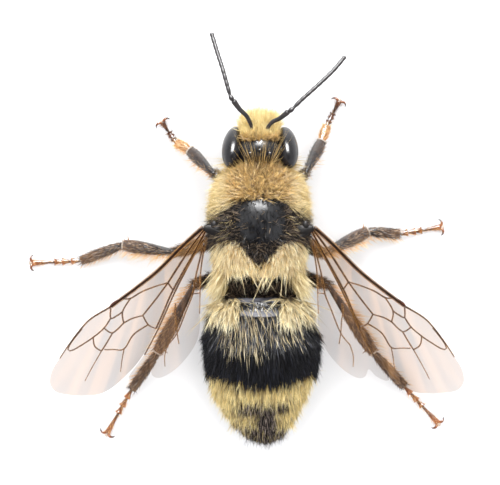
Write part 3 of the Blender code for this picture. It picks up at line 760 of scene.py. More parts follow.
def grow_abdomen(skin, pale, gold, black, belly, tail, tail_black):
    def back(c):
        return ease(-0.25, 0.15, c.up)

    def first_plates(c):
        return beyond(c.x + 0.05, 1.1, 0.25) * ease(1.8, 2.4, c.z)

    # Pale wavy locks on either side of the bare rims, long curls among them and a few across.
    grow(pale, skin, lambda c: 1050 * band(c.y, -2.84, -3.6, 0.08) * first_plates(c), (-0.2, -1, 0),
         lambda r: 17 - 15 * ease(1.3, 1.9, r.side), lambda r: 0.92 - 0.16 * ease(1.6, 2.2, r.side),
         hairs=8, pinch=0.88, fall=(0, -0.4, -0.1), wave=0.09, sway=0.1, stops=5)
    grow(pale, skin, lambda c: 260 * band(c.y, -2.84, -3.4, 0.06) * first_plates(c) * back(c),
         (-0.34, -1, 0), 18, 1.25, hairs=7, spread=0.035, pinch=0.93, fall=(0, -0.4, -0.1),
         wave=0.13, sway=0.16, stops=5)
    grow(pale, skin, lambda c: 66 * band(c.y, -2.95, -3.3) * within(c.x, 1.25) * back(c),
         lambda r: toward(0.3 - 0.3 * r.x, -1, 0.2), 20, 1.05, 0.014, spread=0.02, pinch=0.75,
         wave=0.08, sway=0.22, stops=5)
    # Gold strands over the black of the second plate, straight on the left and shorter on the right.
    grow(gold, skin,
         lambda c: 235 * band(c.y, -3.7, -5.05, 0.25) * band(c.x, 0.0, -1.65, 0.2) * back(c),
         toward(0.26, -1, 0), 18, 0.9, 0.017, hairs=3, spread=0.014, pinch=0.8, sway=0.12)
    grow(gold, skin,
         lambda c: 265 * band(c.y, -3.65, -4.6, 0.2) * band(c.x, 1.9, 0.3, 0.2) * back(c),
         toward(0.02, -1, 0), 22, 0.7, 0.016, hairs=3, spread=0.02, sway=0.24)

    def black_area(c):
        area = band(c.y, -3.1, -20) * ease(-6.75, -6.6, tailward(c))
        area *= 1 - 0.8 * band(c.y, -2.5, -3.75) * beyond(c.x, 1.1, 0.3)
        return area * (1 - within(c.x, 1.2) * band(c.y, 0, -3.72, 0.03)) * ease(1.5, 2.0, c.z)

    grow(black, skin, lambda c: 1500 * black_area(c) * (0.45 + 0.55 * ease(-3.6, -4.4, c.y)),
         (0.16, -1, 0.0), lambda r: 15 + 7 * ease(1.6, 2.5, r.side),
         lambda r: 0.72 - 0.14 * ease(1.6, 2.5, r.side), 0.019, hairs=5, spread=0.04, pinch=0.5,
         sway=0.12, ragged=0.2)
    grow(black, skin, lambda c: 900 * band(c.y, -3.02, -3.34, 0.03) * within(c.x, 1.4) * back(c),
         toward(0.1, -1, 0.0), 14, 0.2, hairs=3, sway=0.3)
    grow(black, skin,
         lambda c: 110 * ease(0.75, 0.95, np.abs(c.normal[..., 0])) * band(c.y, -4.2, -6.7, 0.2),
         lambda r: toward(0.4 * np.sign(r.x), -1, 0.05), 28, 0.58, 0.014, pinch=0.2, ragged=0.25)
    grow(belly, skin, lambda c: 260 * ease(-2.8, -3.0, c.y) * ease(0.0, -0.3, c.up), (0.1, -1, 0),
         20, 0.5, 0.028, hairs=5)

    # The yellow tail: a whole band, then its two sides, with the dark middle between them.
    def tail_area(c):
        place = tailward(c)
        return (band(place, -6.76, -7.5, 0.12)
                + 0.75 * band(place, -7.5, -8.5) * beyond(c.x - 0.1, 1.25, 0.25)
                + 0.1 * band(place, -7.5, -8.3) + 0.12 * ease(-8.8, -9.05, c.y)
                + 0.6 * band(c.y, -8.1, -8.95, 0.16) * beyond(c.x - 0.3, 0.42, 0.2))

    grow(tail, skin, lambda c: 2350 * tail_area(c) * ease(1.35, 1.8, c.z),
         lambda r: toward(0.1 * (r.x - 0.1), -1, 0.0), 18,
         lambda r: 0.6 - 0.2 * ease(-7.0, -8.6, r.y), 0.014, hairs=5, spread=0.045, pinch=0.45,
         wave=0.02, ragged=0.28)
    grow(tail, skin,
         lambda c: 230 * ease(0.45, 0.85, np.abs(c.normal[..., 0])) * band(tailward(c), -6.8, -9.1),
         lambda r: toward(0.6 * np.sign(r.x), -1, 0.1), 40, 0.56, 0.011, pinch=0.1, sway=0.25,
         ragged=0.3)

    def tail_black_area(c):
        place = tailward(c)
        return (0.95 * band(place, -7.5, -8.05, 0.14) * within(c.x - 0.1, 1.3, 0.35)
                + 1.3 * band(c.y, -7.7, -9.3) * within(c.x - 0.3, 0.32, 0.18)
                + 0.7 * ease(-8.76, -9.0, c.y) + 0.16 * band(place, -6.9, -9.2))

    grow(tail_black, skin, lambda c: 1700 * tail_black_area(c) * ease(1.2, 1.5, c.z),
         lambda r: toward(0.1 * (r.x - 0.1), -1, 0.0), 20,
         lambda r: 0.5 - 0.08 * ease(-8.6, -9.2, r.y), 0.016, hairs=4, spread=0.04, pinch=0.4,
         ragged=0.25)
    grow(tail_black, skin, lambda c: 110 * ease(-8.8, -9.2, c.y) * ease(1.3, 1.6, c.z),
         lambda r: toward(0.6 * (r.x - 0.2), -1, 0.1), 28, 0.7, 0.011, pinch=0.1, sway=0.25,
         ragged=0.25)


# ---- head pieces

EYE_PLACE = (1.3, 4.48, 3.42)
EYE_RADII = (0.54, 0.8, 1.28)
EYE_LEAN = math.radians(40)
EYE_TURN = math.radians(9)
OCELLI = [(-0.48, 4.18, 4.58), (-0.01, 4.34, 4.64), (0.47, 4.18, 4.58)]
OCELLUS_RADII = (0.13, 0.12, 0.1)
LIP_PLACE = (0, 5.62, 1.62)
LIP_RADII = (0.46, 0.2, 0.22)
JAW = [(0.66, 5.18, 1.8), (0.58, 5.62, 1.48), (0.36, 5.95, 1.24), (-0.02, 6.08, 1.12)]
JAW_GIRTHS = ([0.24, 0.27, 0.25, 0.13], [0.15, 0.13, 0.09, 0.05])
TONGUE = [(0, 5.35, 1.75), (0, 5.72, 1.2), (0, 5.3, 0.86), (0, 4.3, 0.84)]
TONGUE_GIRTH = [0.2, 0.15, 0.1, 0.05]


def build_head_pieces(eye, shell):
    for side, sign in SIDES.items():
        mirror = np.array((sign, 1, 1))
        lens = ball(EYE_PLACE * mirror, EYE_RADII, EYE_LEAN, sign * EYE_TURN)
        add_surfaces("bee_eye_" + side, [lens], eye, ["eye_" + side])
        jaw = limb(JAW * mirror, *JAW_GIRTHS, count=20)
        add_surfaces("bee_jaw_" + side, [jaw], shell, ["mandible_" + side])
    beads = [ball(place, OCELLUS_RADII, sides=20, count=11) for place in OCELLI]
    add_surfaces("ocelli", beads, eye)
    lip = ball(LIP_PLACE, LIP_RADII, sides=24, count=13)
    tongue = limb(TONGUE, TONGUE_GIRTH, count=24, sides=24)
    add_surfaces("mouth", [lip, tongue], shell)


CAD_TUBE_SIDES = 8


def ring_centres(name, near, rings):
    """The middle of each ring of a CAD tube, from the end at near outwards.

    The rings at its two ends have one point more, at their middle.
    """
    places = np.array([vertex.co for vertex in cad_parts[name].data.vertices])
    points = np.unique(np.round((places - ORIGIN) / MM, 3), axis=0)
    run = np.linalg.svd(points - points.mean(axis=0), full_matrices=False)[2][0]
    if (points.mean(axis=0) - near) @ run < 0:
        run = -run
    points = points[np.argsort(points @ run)]
    centres = []
    for number in [CAD_TUBE_SIDES + 1] + [CAD_TUBE_SIDES] * (rings - 2):
        centres.append(points[-number:].mean(axis=0))
        points = points[:-number]
    if len(points):
        centres.append(points.mean(axis=0))
    return np.array(centres[::-1])


HEAD_MIDDLE = np.array((0.0, 4.6, 3.6))
SCAPE_GIRTH = [0.085, 0.095, 0.105, 0.12, 0.145]
SCAPE_END = (1.0, 0.9, 0.6)  # how the scape's last three rings narrow
FLAGELLUM_JOINTS = 11
FLAGELLUM_GIRTH = 0.105
BEAD_GIRTH = [0.07, 0.125, 0.06]  # of the small bead between the scape and the flagellum


def build_feelers(finish):
    for side in SIDES:
        scape = ring_centres("scape_" + side, HEAD_MIDDLE, 4)
        whip = ring_centres("flagellum_" + side, scape[0], 5)
        root = scape[0] + (scape[0] - scape[1]) * 0.6
        stem = smooth_path([root, *scape[1:]], 40)
        stem_girth = profile(SCAPE_GIRTH, 40)
        stem_girth[-3:] *= SCAPE_END
        add_surfaces("bee_scape_" + side, [tube(stem, stem_girth)], finish,
                     ["scape_" + side])
        count = FLAGELLUM_JOINTS * 10
        lash = smooth_path(whip, count)
        t = np.linspace(0, 1, count)
        girth = FLAGELLUM_GIRTH * (0.55 + 0.45 * ease(0.0, 0.16, t))
        girth *= 1 - 0.14 * np.abs(np.cos(np.pi * FLAGELLUM_JOINTS * t)) ** 6
        girth *= 1 - 0.85 * ease(0.955, 1.0, t) ** 2
        bead = limb([stem[-2], stem[-1] * 0.4 + lash[4] * 0.6, lash[9]], BEAD_GIRTH)
        add_surfaces("bee_flagellum_" + side, [tube(lash, girth), bead], finish,
                     ["flagellum_" + side])


TEGULA_RADII = (0.16, 0.24, 0.08)
TEGULA_SHIFT = (0.2, 0.05, 0.24)  # how far it lies inwards, behind and below its solid's middle
ARM_START = [(1.45, 0.35, 4.6), (2.05, 0.45, 4.78)]  # where the arm runs before it meets the hinge
ARM_GIRTHS = ([0.4, 0.32, 0.14], [0.24, 0.14, 0.06])


def build_tegulae(finish):
    """The scale over each wing's root, and the horny arm that carries the wing out from the skin."""
    for side, sign in SIDES.items():
        mirror = np.array((sign, 1, 1))
        low, high = ((np.array(corner) - ORIGIN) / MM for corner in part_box("tegula_" + side))
        plate = ball((low + high) / 2 - TEGULA_SHIFT * mirror, TEGULA_RADII, sides=32, count=17)
        hinge = np.append(Wing(side).hinge, HINGE_HEIGHT)
        arm = limb([*(ARM_START * mirror), hinge], *ARM_GIRTHS, count=16, sides=32)
        add_surfaces("bee_tegula_" + side, [plate], finish, ["tegula_" + side])
        add_surfaces("wing_root_" + side, [arm], finish)


# ---- legs

LEGS = [f"{pair}_{side}" for pair in ("front", "middle", "hind") for side in SIDES]
FOOT_HEIGHT = 0.155  # how high the middle of a foot lies over the floor, once it has landed
LANDING = 0.45  # the share of its length at which a foot lands
SPUR_GIRTH = [0.045, 0.03, 0.008]
CLAW_GIRTH = [0.06, 0.06, 0.04, 0.008]
CUFF_GIRTHS = np.array([[0.25, 0.29, 0.22], [0.15, 0.19, 0.13]])  # round the end of a tibia
PAD_RADII = (0.09, 0.11, 0.06)
# Half widths and half heights along each length of a leg, before the pair's scale.
LEG_SHAPES = {
    "coxa": ([0.32, 0.36, 0.24], [0.32, 0.34, 0.24]),
    "femur": ([0.17, 0.27, 0.26, 0.18], [0.19, 0.31, 0.28, 0.19]),
    "tibia": ([0.11, 0.19, 0.27, 0.31, 0.24], [0.12, 0.19, 0.21, 0.19, 0.14]),
    "basitarsus": ([0.13, 0.23, 0.24, 0.21], [0.12, 0.14, 0.13, 0.11]),
}
LEG_SCALE = {"front": 0.9, "middle": 0.98, "hind": 0.94}
# How orange each length is at its start and at its end.
LEG_HUES = {
    "front": {"tibia": (0.0, 0.1), "basitarsus": (0.9, 1.0)},
    "middle": {"tibia": (0.0, 0.35), "basitarsus": (0.1, 0.45)},
    "hind": {"tibia": (0.0, 0.4), "basitarsus": (0.1, 0.35)},
}
# How orange each small joint of the foot is at its start and at its end.
FOOT_HUES = {"front": (0.0, 0.45), "middle": (0.05, 0.85), "hind": (0.15, 0.9)}
# How long the bristles are on each pair's tibia and basitarsus.
FRINGES = {"front": (0.4, 0.24), "middle": (0.52, 0.3), "hind": (0.5, 0.26)}
LEG_HAIRS = 340  # to the square millimetre
# Where the hair of these tibiae begins and is full, from -1 at the front to 1 at the rear.
TIBIA_HAIR = {"front": (-0.45, 0.0), "middle": (-0.75, -0.5)}
WALK_POINTS = 80  # the points along a foot's course, from heel to toe
# Each small joint of the foot: the points of the course between which it lies, and its half widths.
TOE_JOINTS = [
    (0, 16, [0.06, 0.09, 0.12, 0.18]),
    (15, 31, [0.06, 0.09, 0.12, 0.18]),
    (30, 44, [0.06, 0.09, 0.12, 0.18]),
    (43, 77, [0.06, 0.08, 0.12, 0.15]),
]


def leg_joints(leg):
    """The hip, the end of the coxa, the knee, the tibia's and basitarsus's ends and the toe."""
    hip = ring_centres("coxa_" + leg, np.array((0.0, 0.4, 2.5)), 3)
    joints = [hip[0], hip[-1]]
    for segment in ("femur", "tibia", "basitarsus", "tarsus"):
        joints.append(ring_centres(f"{segment}_{leg}", joints[-1], 2)[-1])
    return joints


def claw(base, way, out):
    """One hooked claw, which curves outwards and down to the floor."""
    path = [base, base + way * 0.07 + out * 0.15 + (0, 0, 0.05), base + way * 0.02 + out * 0.29,
            base - way * 0.09 + out * 0.35 - (0, 0, 0.06)]
    return limb(path, CLAW_GIRTH, sides=10)


def hues_of(surface, first, last):
    """How orange each point of a leg's tube is, from its start to its end, for its Marks map."""
    count, sides = surface.rings.shape[:2]
    hues = np.clip(np.linspace(first, last, count), 0, 1)
    return np.append(np.repeat(hues, sides), hues[[0, -1]])


def add_hued(name, parts, hues, finish, nodes=()):
    """One piece from several tubes, with their hues in its Marks map."""
    hue = np.concatenate(hues)
    add_surfaces(name, parts, finish, nodes, {"Marks": np.stack([hue, hue], 1)})


def build_leg(leg, finishes, dark_coat, orange_coat, column):
    """A leg's four lengths and its spur, then its foot, the cuff round its ankle and its hair."""
    pair, side = leg.split("_")
    scale = LEG_SCALE[pair]
    joints = leg_joints(leg)
    lengths, hues = {}, []
    for start, end, (segment, (wide, high)) in zip(joints, joints[1:], LEG_SHAPES.items()):
        lengths[segment] = limb([start, (start + end) / 2, end], wide, high, 28, 20, scale)
        first, last = LEG_HUES[pair].get(segment, (0.0, 0.0))
        hues.append(hues_of(lengths[segment], first * 1.5 - last * 0.5, last))
    rear = np.array((0.0, -1.0, 0.0)) if pair != "hind" else np.array((SIDES[side] * 0.85, 0.5, 0.0))
    parts = list(lengths.values())
    ankle, run = joints[3], unit(joints[3] - joints[2])
    if pair != "front":
        base = ankle - run * 0.3 - rear * 0.18 * scale
        tip = base - rear * 0.3 + run * 0.06
        parts.append(tube([base, (base + tip) / 2, tip], SPUR_GIRTH, sides=12))
        hues.append(hues_of(parts[-1], 0.8, 0.8))
    add_hued("leg_" + leg, parts, hues, finishes["leg"],
             [f"{segment}_{leg}" for segment in LEG_SHAPES])
    beads, pad = build_foot(leg, *joints[4:], finishes["foot"])
    cuff = tube([ankle - run * 0.05, ankle, ankle + run * 0.05], *(scale * CUFF_GIRTHS), sides=20)
    add_surfaces("pad_" + leg, [pad, cuff], finishes["pad"])
    grow_leg(pair, lengths, beads, rear, dark_coat, orange_coat, column)


def build_foot(leg, heel, toe, finish):
    """A foot that runs down to the floor and along it. Gives its joints and the pad at its end."""
    pair = leg.split("_")[0]
    toe = np.append(toe[:2], FOOT_HEIGHT)
    landing = np.append((heel + (toe - heel) * LANDING)[:2], FOOT_HEIGHT)
    walk = smooth_path([heel, (heel + landing) / 2, landing, (toe + landing) / 2, toe], WALK_POINTS)
    beads = []
    for first, last, girth in TOE_JOINTS:
        stretch = smooth_path(walk[first:last], 14)
        width = LEG_SCALE[pair] * profile(girth, 14)
        beads.append(tube(stretch, width, width * 0.8, sides=14))
    add_hued("foot_" + leg, beads, [hues_of(bead, *FOOT_HUES[pair]) for bead in beads], finish,
             ["tarsus_" + leg])
    way = unit((walk[-1] - walk[-8]) * (1, 1, 0))
    beside = np.array((-way[1], way[0], 0))
    base = walk[-3]
    hooks = [claw(base + beside * turn * 0.05, way, beside * turn) for turn in (-1, 1)]
    add_hued("claws_" + leg, hooks, [hues_of(hook, 1.2, -0.3) for hook in hooks], finish)
    return beads, ball(base + way * 0.07, PAD_RADII, sides=16, count=9)


def grow_leg(pair, lengths, beads, rear, dark_coat, orange_coat, column):
    """Short hair on a leg, save where it shines, and orange bristles along its rear edge."""
    for row, (segment, length) in enumerate(lengths.items()):
        if segment == "coxa":
            continue
        start, end = length.ends()
        run = unit(end - start)
        reach = np.linalg.norm(end - start)

        def hair_density(cells):
            facing = cells.normal @ rear
            if segment != "tibia":
                return LEG_HAIRS + 0 * facing
            if pair == "hind":
                return LEG_HAIRS * ease(0.3, 0.5, (cells.place - start) @ run / reach)
            return LEG_HAIRS * ease(*TIBIA_HAIR[pair], facing)

        coat = orange_coat if (pair, segment) == ("front", "basitarsus") else dark_coat
        grow(coat, length, hair_density, run, 22, 0.32 if segment == "femur" else 0.17, 0.018,
             hairs=1, spread=0, fall=run, bow=0.2, sway=0.35, cell=(column, row))
        if segment == "femur":
            continue
        fringe = FRINGES[pair][segment == "basitarsus"]
        grow(orange_coat, length, lambda cells: 300 * ease(0.6, 0.88, cells.normal @ rear),
             rear + run * 0.7, 40, fringe, 0.017, hairs=1, spread=0, fall=run, ragged=0.3,
             sway=0.25, cell=(column, row))
    toe_coat = dark_coat if pair == "front" else orange_coat
    for bead in beads:
        start, end = bead.ends()
        run = unit(end - start)
        grow(toe_coat, bead, lambda cells: 190 * ease(-0.3, 0.1, cells.up), run, 32, 0.14, 0.016,
             hairs=1, spread=0, fall=run, bow=0.2, sway=0.35, cell=(column, LEG_CELLS - 1))


# ---- wings

# Each wing lies in a plane of its own, as the solids do: places on it are shares of the forewing's
# length, u from the hinge to the tip and v towards the trailing edge.
WINGS = {
    "left": {"hinge": (-2.72, 0.58), "tip": (-10.2, -6.8), "hind_share": 0.975},
    "right": {"hinge": (2.58, 0.58), "tip": (9.9, -6.72), "hind_share": 1.0},
}
HINGE_HEIGHT = 4.75
WING_PITCH = 0.125  # how the wings' plane falls towards the tip
WING_ROLL = 0.05  # and towards the trailing edge
HIND_DROP = 0.04  # how far the hindwing lies below the forewing
FOREWING = [
    (0.000, -0.012), (0.118, -0.017), (0.288, -0.016), (0.413, -0.029), (0.492, -0.040),
    (0.575, -0.051), (0.661, -0.071), (0.727, -0.070), (0.821, -0.056), (0.897, -0.040),
    (0.955, -0.027), (1.001, 0.000), (1.018, 0.031), (1.015, 0.066), (0.987, 0.108),
    (0.943, 0.158), (0.883, 0.206), (0.817, 0.227), (0.726, 0.231), (0.625, 0.222),
    (0.490, 0.181), (0.299, 0.107), (0.112, 0.049), (0.000, 0.020),
]
HINDWING = [
    (0.025, 0.034), (0.110, 0.052), (0.297, 0.110), (0.487, 0.180), (0.622, 0.222),
    (0.724, 0.239), (0.752, 0.248), (0.748, 0.266), (0.701, 0.284), (0.652, 0.285),
    (0.664, 0.318), (0.652, 0.345), (0.615, 0.362), (0.555, 0.372), (0.479, 0.368),
    (0.400, 0.348), (0.330, 0.300), (0.250, 0.215), (0.120, 0.110), (0.040, 0.062),
]
# Veins: places along each, then its width at the start and at the end in millimetres.
FORE_VEINS = [
    ([(0.0, -0.004), (0.118, -0.01), (0.288, -0.009), (0.413, -0.022), (0.497, -0.034),
      (0.56, -0.043)], 0.21, 0.17),
    ([(0.56, -0.043), (0.661, -0.068), (0.727, -0.068), (0.821, -0.055), (0.897, -0.039)], 0.08, 0.04),
    ([(0.0, 0.006), (0.086, 0.018), (0.17, 0.035), (0.295, 0.063)], 0.1, 0.08),
    ([(0.295, 0.063), (0.302, 0.1)], 0.06, 0.06),
    ([(0.0, 0.014), (0.112, 0.049), (0.302, 0.104), (0.4, 0.143), (0.483, 0.175)], 0.11, 0.07),
    ([(0.295, 0.063), (0.345, 0.036), (0.41, 0.008), (0.469, -0.007), (0.497, -0.033)], 0.06, 0.06),
    ([(0.295, 0.063), (0.39, 0.078), (0.484, 0.089)], 0.07, 0.06),
    ([(0.484, 0.089), (0.53, 0.064), (0.571, 0.052)], 0.055, 0.055),
    ([(0.484, 0.089), (0.496, 0.137), (0.483, 0.175)], 0.055, 0.055),
    ([(0.469, -0.007), (0.538, 0.011), (0.571, 0.052)], 0.055, 0.055),
    ([(0.538, 0.011), (0.57, 0.006), (0.598, -0.006), (0.566, -0.039)], 0.055, 0.06),
    ([(0.598, -0.006), (0.653, 0.005), (0.719, 0.0), (0.785, -0.013), (0.826, -0.024),
      (0.843, -0.037), (0.828, -0.049), (0.79, -0.057), (0.727, -0.064)], 0.055, 0.045),
    ([(0.653, 0.005), (0.639, 0.048), (0.571, 0.052)], 0.05, 0.055),
    ([(0.639, 0.048), (0.69, 0.062), (0.736, 0.072)], 0.055, 0.05),
    ([(0.719, 0.0), (0.742, 0.035), (0.736, 0.072)], 0.05, 0.05),
    ([(0.496, 0.137), (0.575, 0.122), (0.654, 0.138), (0.69, 0.106), (0.721, 0.077)], 0.055, 0.05),
    ([(0.654, 0.138), (0.7, 0.17), (0.741, 0.203)], 0.035, 0.015),
    ([(0.736, 0.072), (0.815, 0.094), (0.888, 0.117)], 0.035, 0.015),
]
HIND_VEINS = [
    ([(0.03, 0.036), (0.11, 0.053), (0.297, 0.111), (0.487, 0.182), (0.622, 0.224)], 0.09, 0.05),
    ([(0.05, 0.05), (0.175, 0.124), (0.256, 0.18), (0.318, 0.207), (0.439, 0.258), (0.508, 0.266)],
     0.07, 0.035),
    ([(0.345, 0.155), (0.377, 0.181), (0.397, 0.209), (0.439, 0.258), (0.47, 0.3)], 0.05, 0.03),
    ([(0.228, 0.2), (0.256, 0.18)], 0.045, 0.045),
    ([(0.508, 0.266), (0.556, 0.292), (0.592, 0.329)], 0.035, 0.015),
    ([(0.05, 0.055), (0.15, 0.128), (0.228, 0.2), (0.3, 0.268)], 0.06, 0.02),
]
STIGMA = ((0.545, -0.044), 0.3, 0.085)  # its middle, then its half length and width in mm
OUTLINE_POINTS = 220
# The film's inner points: their spacing, the spans of u and v that they cover, and how near to the
# outline they come.
GRID_STEP = 0.013
GRID_SPANS = ((-0.01, 1.04), (-0.09, 0.4))
GRID_SHARE = 0.985
FAN_CENTRE = (-0.02, -0.25)  # the place that the folds and streaks of the film fan out from


class Wing:
    """One side's wings: turns places on them into points in the bee's frame."""

    def __init__(self, side):
        wing = WINGS[side]
        self.hinge = np.array(wing["hinge"])
        span = np.array(wing["tip"]) - self.hinge
        self.length = np.linalg.norm(span)
        self.along = span / self.length
        self.across = np.array((self.along[1], -self.along[0]))
        if self.across[1] > 0:
            self.across = -self.across
        self.hind_share = wing["hind_share"]

    def points(self, places, share=1.0, rise=0.0):
        u, v = np.asarray(places, float).T
        flat = self.hinge + (u[:, None] * share * self.along + v[:, None] * self.across) * self.length
        drop = (WING_PITCH * u + WING_ROLL * v) * self.length
        fan, reach = fan_places(u, v)
        ripple = 0.03 * np.sin(fan * 38) * ease(0.35, 0.9, reach)
        ripple += 0.015 * np.sin(u * 17 + 2) * ease(0.3, 0.7, reach)
        return np.column_stack([flat, HINGE_HEIGHT - drop + ripple + rise])


def closed_outline(corners, count):
    """A smooth closed curve through the corners."""
    corners = np.array(corners)
    wrapped = np.concatenate([corners[-2:], corners, corners[:3]])
    steps = np.linalg.norm(np.diff(wrapped, axis=0), axis=1)
    knots = np.concatenate([[0], np.cumsum(steps)])
    at = np.linspace(knots[2], knots[2 + len(corners)], count, endpoint=False)
    return catmull_rom(knots, wrapped, at)


def inside(places, loop):
    """Which places lie inside a closed loop."""
    x, y = places.T
    found = np.zeros(len(places), bool)
    for (x0, y0), (x1, y1) in zip(loop, np.roll(loop, -1, axis=0)):
        crosses = (y0 > y) != (y1 > y)
        edge_x = (x1 - x0) * (y - y0) / np.where(y1 == y0, 1e-12, y1 - y0) + x0
        found ^= crosses & (x < edge_x)
    return found


def film(outline):
    """Places and triangles of a wing's film, evenly spread inside its outline."""
    loop = closed_outline(outline, OUTLINE_POINTS)
    u, v = np.meshgrid(*(np.arange(low, high, GRID_STEP) for low, high in GRID_SPANS))
    u = u + (np.arange(len(u)) % 2)[:, None] * GRID_STEP / 2
    grid = np.column_stack([u.ravel(), v.ravel()])
    middle = loop.mean(axis=0)
    grid = grid[inside(grid, middle + (loop - middle) * GRID_SHARE)]
    places = [Vector(place) for place in np.concatenate([loop, grid])]
    made = delaunay_2d_cdt(places, [], [list(range(len(loop)))], 1, 1e-6)
    return np.array([tuple(place) for place in made[0]]), np.array(made[2])


def vein_tubes(wing, veins, share, rise, widen, flat):
    """Flattened tubes along the veins, no higher than flat. widen is a share, then millimetres."""
    tubes = []
    for path, first, last in veins:
        line = smooth_path([(u, v, 0) for u, v in path], 24)[:, :2]
        width = (np.linspace(first, last, 24) * widen[0] + widen[1]) / 2
        tubes.append(tube(wing.points(line, share, rise), width, np.minimum(width, flat), sides=8))
    return tubes


def fan_places(u, v):
    """The angle of places on a wing about FAN_CENTRE, and how far they lie from its hinge."""
    return np.arctan2(v - FAN_CENTRE[1], u - FAN_CENTRE[0]), np.hypot(u, v)


# The film's material on each wing: how opaque it is, and its darkest and lightest tones.
FILMS = {
    "forewing": ("film_fore", 0.48, (0.03, 0.01, 0.003), (0.36, 0.18, 0.07)),
    "hindwing": ("film_hind", 0.24, (0.04, 0.012, 0.002), (0.36, 0.18, 0.08)),
}


def build_wings():
    clear = {kind: film_material(*look) for kind, look in FILMS.items()}
    edging = edging_material()
    dark = shell_material("wing_vein", (0.01, 0.004, 0.002), (0.038, 0.014, 0.006),
                          Specular_IOR_Level=0.1)
    red = shell_material("stigma_red", (0.035, 0.01, 0.006), (0.13, 0.036, 0.016),
                         Specular_IOR_Level=0.2)
    for side in SIDES:
        wing = Wing(side)
        for kind, outline, veins, share, rise in (
            ("forewing", FOREWING, FORE_VEINS, 1.0, 0.0),
            ("hindwing", HINDWING, HIND_VEINS, wing.hind_share, -HIND_DROP),
        ):
            places, faces = film(outline)
            fan = np.column_stack(fan_places(*places.T))
            add_mesh(f"film_{kind}_{side}", wing.points(places, share, rise), faces, clear[kind],
                     [f"{kind}_{side}"], {"Fan": fan})
            cores = vein_tubes(wing, veins, share, rise + 0.01, (0.72, 0), 0.045)
            add_surfaces(f"veins_{kind}_{side}", cores, dark)
            fringes = vein_tubes(wing, veins, share, rise, (1.05, 0.03), 0.012)
            add_surfaces(f"edges_{kind}_{side}", fringes, edging)
        place, half_length, half_width = STIGMA
        middle = wing.points([place])[0]
        reach = half_length * np.append(wing.along, -WING_PITCH)
        blob = limb([middle - reach, middle, middle + reach], [0.02, half_width, 0.02],
                    [0.02, 0.05, 0.02], sides=10)
        add_surfaces("stigma_" + side, [blob], red)


def film_material(name, alpha, dark, light):
    """Clear film in tones from dark to light, in soft streaks that fan out, and amber at its root."""
    made, tree, shader = new_material(name, Roughness=0.35, Alpha=alpha, Specular_IOR_Level=0.15)
    fan = add_node(tree, "ShaderNodeUVMap", uv_map="Fan").outputs["UV"]
    spread = add_node(tree, "ShaderNodeMapping", {"Vector": fan, "Scale": (15, 0.9, 1)}).outputs[0]
    streaks = add_node(tree, "ShaderNodeTexNoise", {"Vector": spread, "Scale": 1.0, "Detail": 3.0})
    tone = two_tones(tree, streaks.outputs["Fac"], dark, light, 0.36, 0.64)
    root = two_tones(tree, map_parts(tree, "Fan")["Y"], (1, 1, 1), (0, 0, 0), 0.08, 0.3)
    paint(tree, shader, add_mix(tree, root, tone, (0.22, 0.11, 0.035)))
    add_bump(tree, shader, add_noise(tree, 6.0, 2.0), 0.01)
    return made


def edging_material():
    """The amber that the veins' edges fade into."""
    made, tree, shader = new_material("wing_edging", Roughness=0.35, Alpha=0.42)
    paint(tree, shader, two_tones(tree, add_noise(tree, 2.0), (0.42, 0.17, 0.03), (0.7, 0.34, 0.09)))
    return made


# ---- camera, floor and light

VIEW_MIDDLE = (-0.488, -0.122)  # the camera looks straight down on this place
VIEW_WIDTH = 24.4
CAMERA_HEIGHT = 600.0
SENSOR = 36.0
FLOOR_SIZE = 3.0  # in metres
# Name, place, width and depth in metres, watts, and whether the light only shines in what is glossy.
LIGHTS = [
    ("key", (0.1, 0.12, 0.44), 0.45, 0.45, 1.5, False),
    ("fill", (-0.34, 0.08, 0.36), 0.4, 0.4, 1.0, False),
    ("window", (0.0, 0.38, 0.32), 0.32, 0.28, 21.0, True),
]


def build_stage():
    bpy.ops.mesh.primitive_plane_add(size=FLOOR_SIZE, location=(0, 0, 0))
    floor = bpy.context.object
    floor.name = "floor"
    made, tree, shader = new_material("floor_white", Roughness=0.6)
    grain = add_noise(tree, 0.02, 2.0)
    paint(tree, shader, two_tones(tree, grain, (0.88, 0.88, 0.89), (0.92, 0.92, 0.92), 0.3))
    floor.data.materials.append(made)

    scene = bpy.context.scene
    camera = bpy.data.objects.new("camera", bpy.data.cameras.new("camera"))
    scene.collection.objects.link(camera)
    camera.location = (VIEW_MIDDLE[0] * MM + ORIGIN[0], VIEW_MIDDLE[1] * MM + ORIGIN[1],
                       CAMERA_HEIGHT * MM)
    camera.data.sensor_width = SENSOR
    camera.data.lens = SENSOR * CAMERA_HEIGHT / VIEW_WIDTH
    camera.data.clip_start = 0.05
    camera.data.clip_end = 10.0
    scene.camera = camera

    for name, place, width, depth, watts, shining in LIGHTS:
        data = bpy.data.lights.new(name, "AREA")
        data.shape = "RECTANGLE"
        data.size = width
        data.size_y = depth
        data.energy = watts
        light = bpy.data.objects.new(name, data)
        light.location = place
        light.rotation_euler = (-Vector(place)).to_track_quat("-Z", "Y").to_euler()
        light.visible_camera = False
        light.visible_diffuse = not shining
        light.visible_glossy = shining
        scene.collection.objects.link(light)

    world = bpy.data.worlds.new("studio")
    world.use_nodes = True
    tree = world.node_tree
    direction = add_node(tree, "ShaderNodeTexCoord").outputs["Generated"]
    height = add_node(tree, "ShaderNodeSeparateXYZ", {"Vector": direction}).outputs["Z"]
    sky = add_ramp(tree, height, [(0.78, (0.96, 0.97, 1.0)), (0.9, (0.02, 0.02, 0.025))])
    background = tree.nodes["Background"]
    tree.links.new(sky, background.inputs["Color"])
    background.inputs["Strength"].default_value = 1.5
    scene.world = world
    scene.view_settings.view_transform = "Standard"
    scene.view_settings.look = "None"


# ---- putting it together


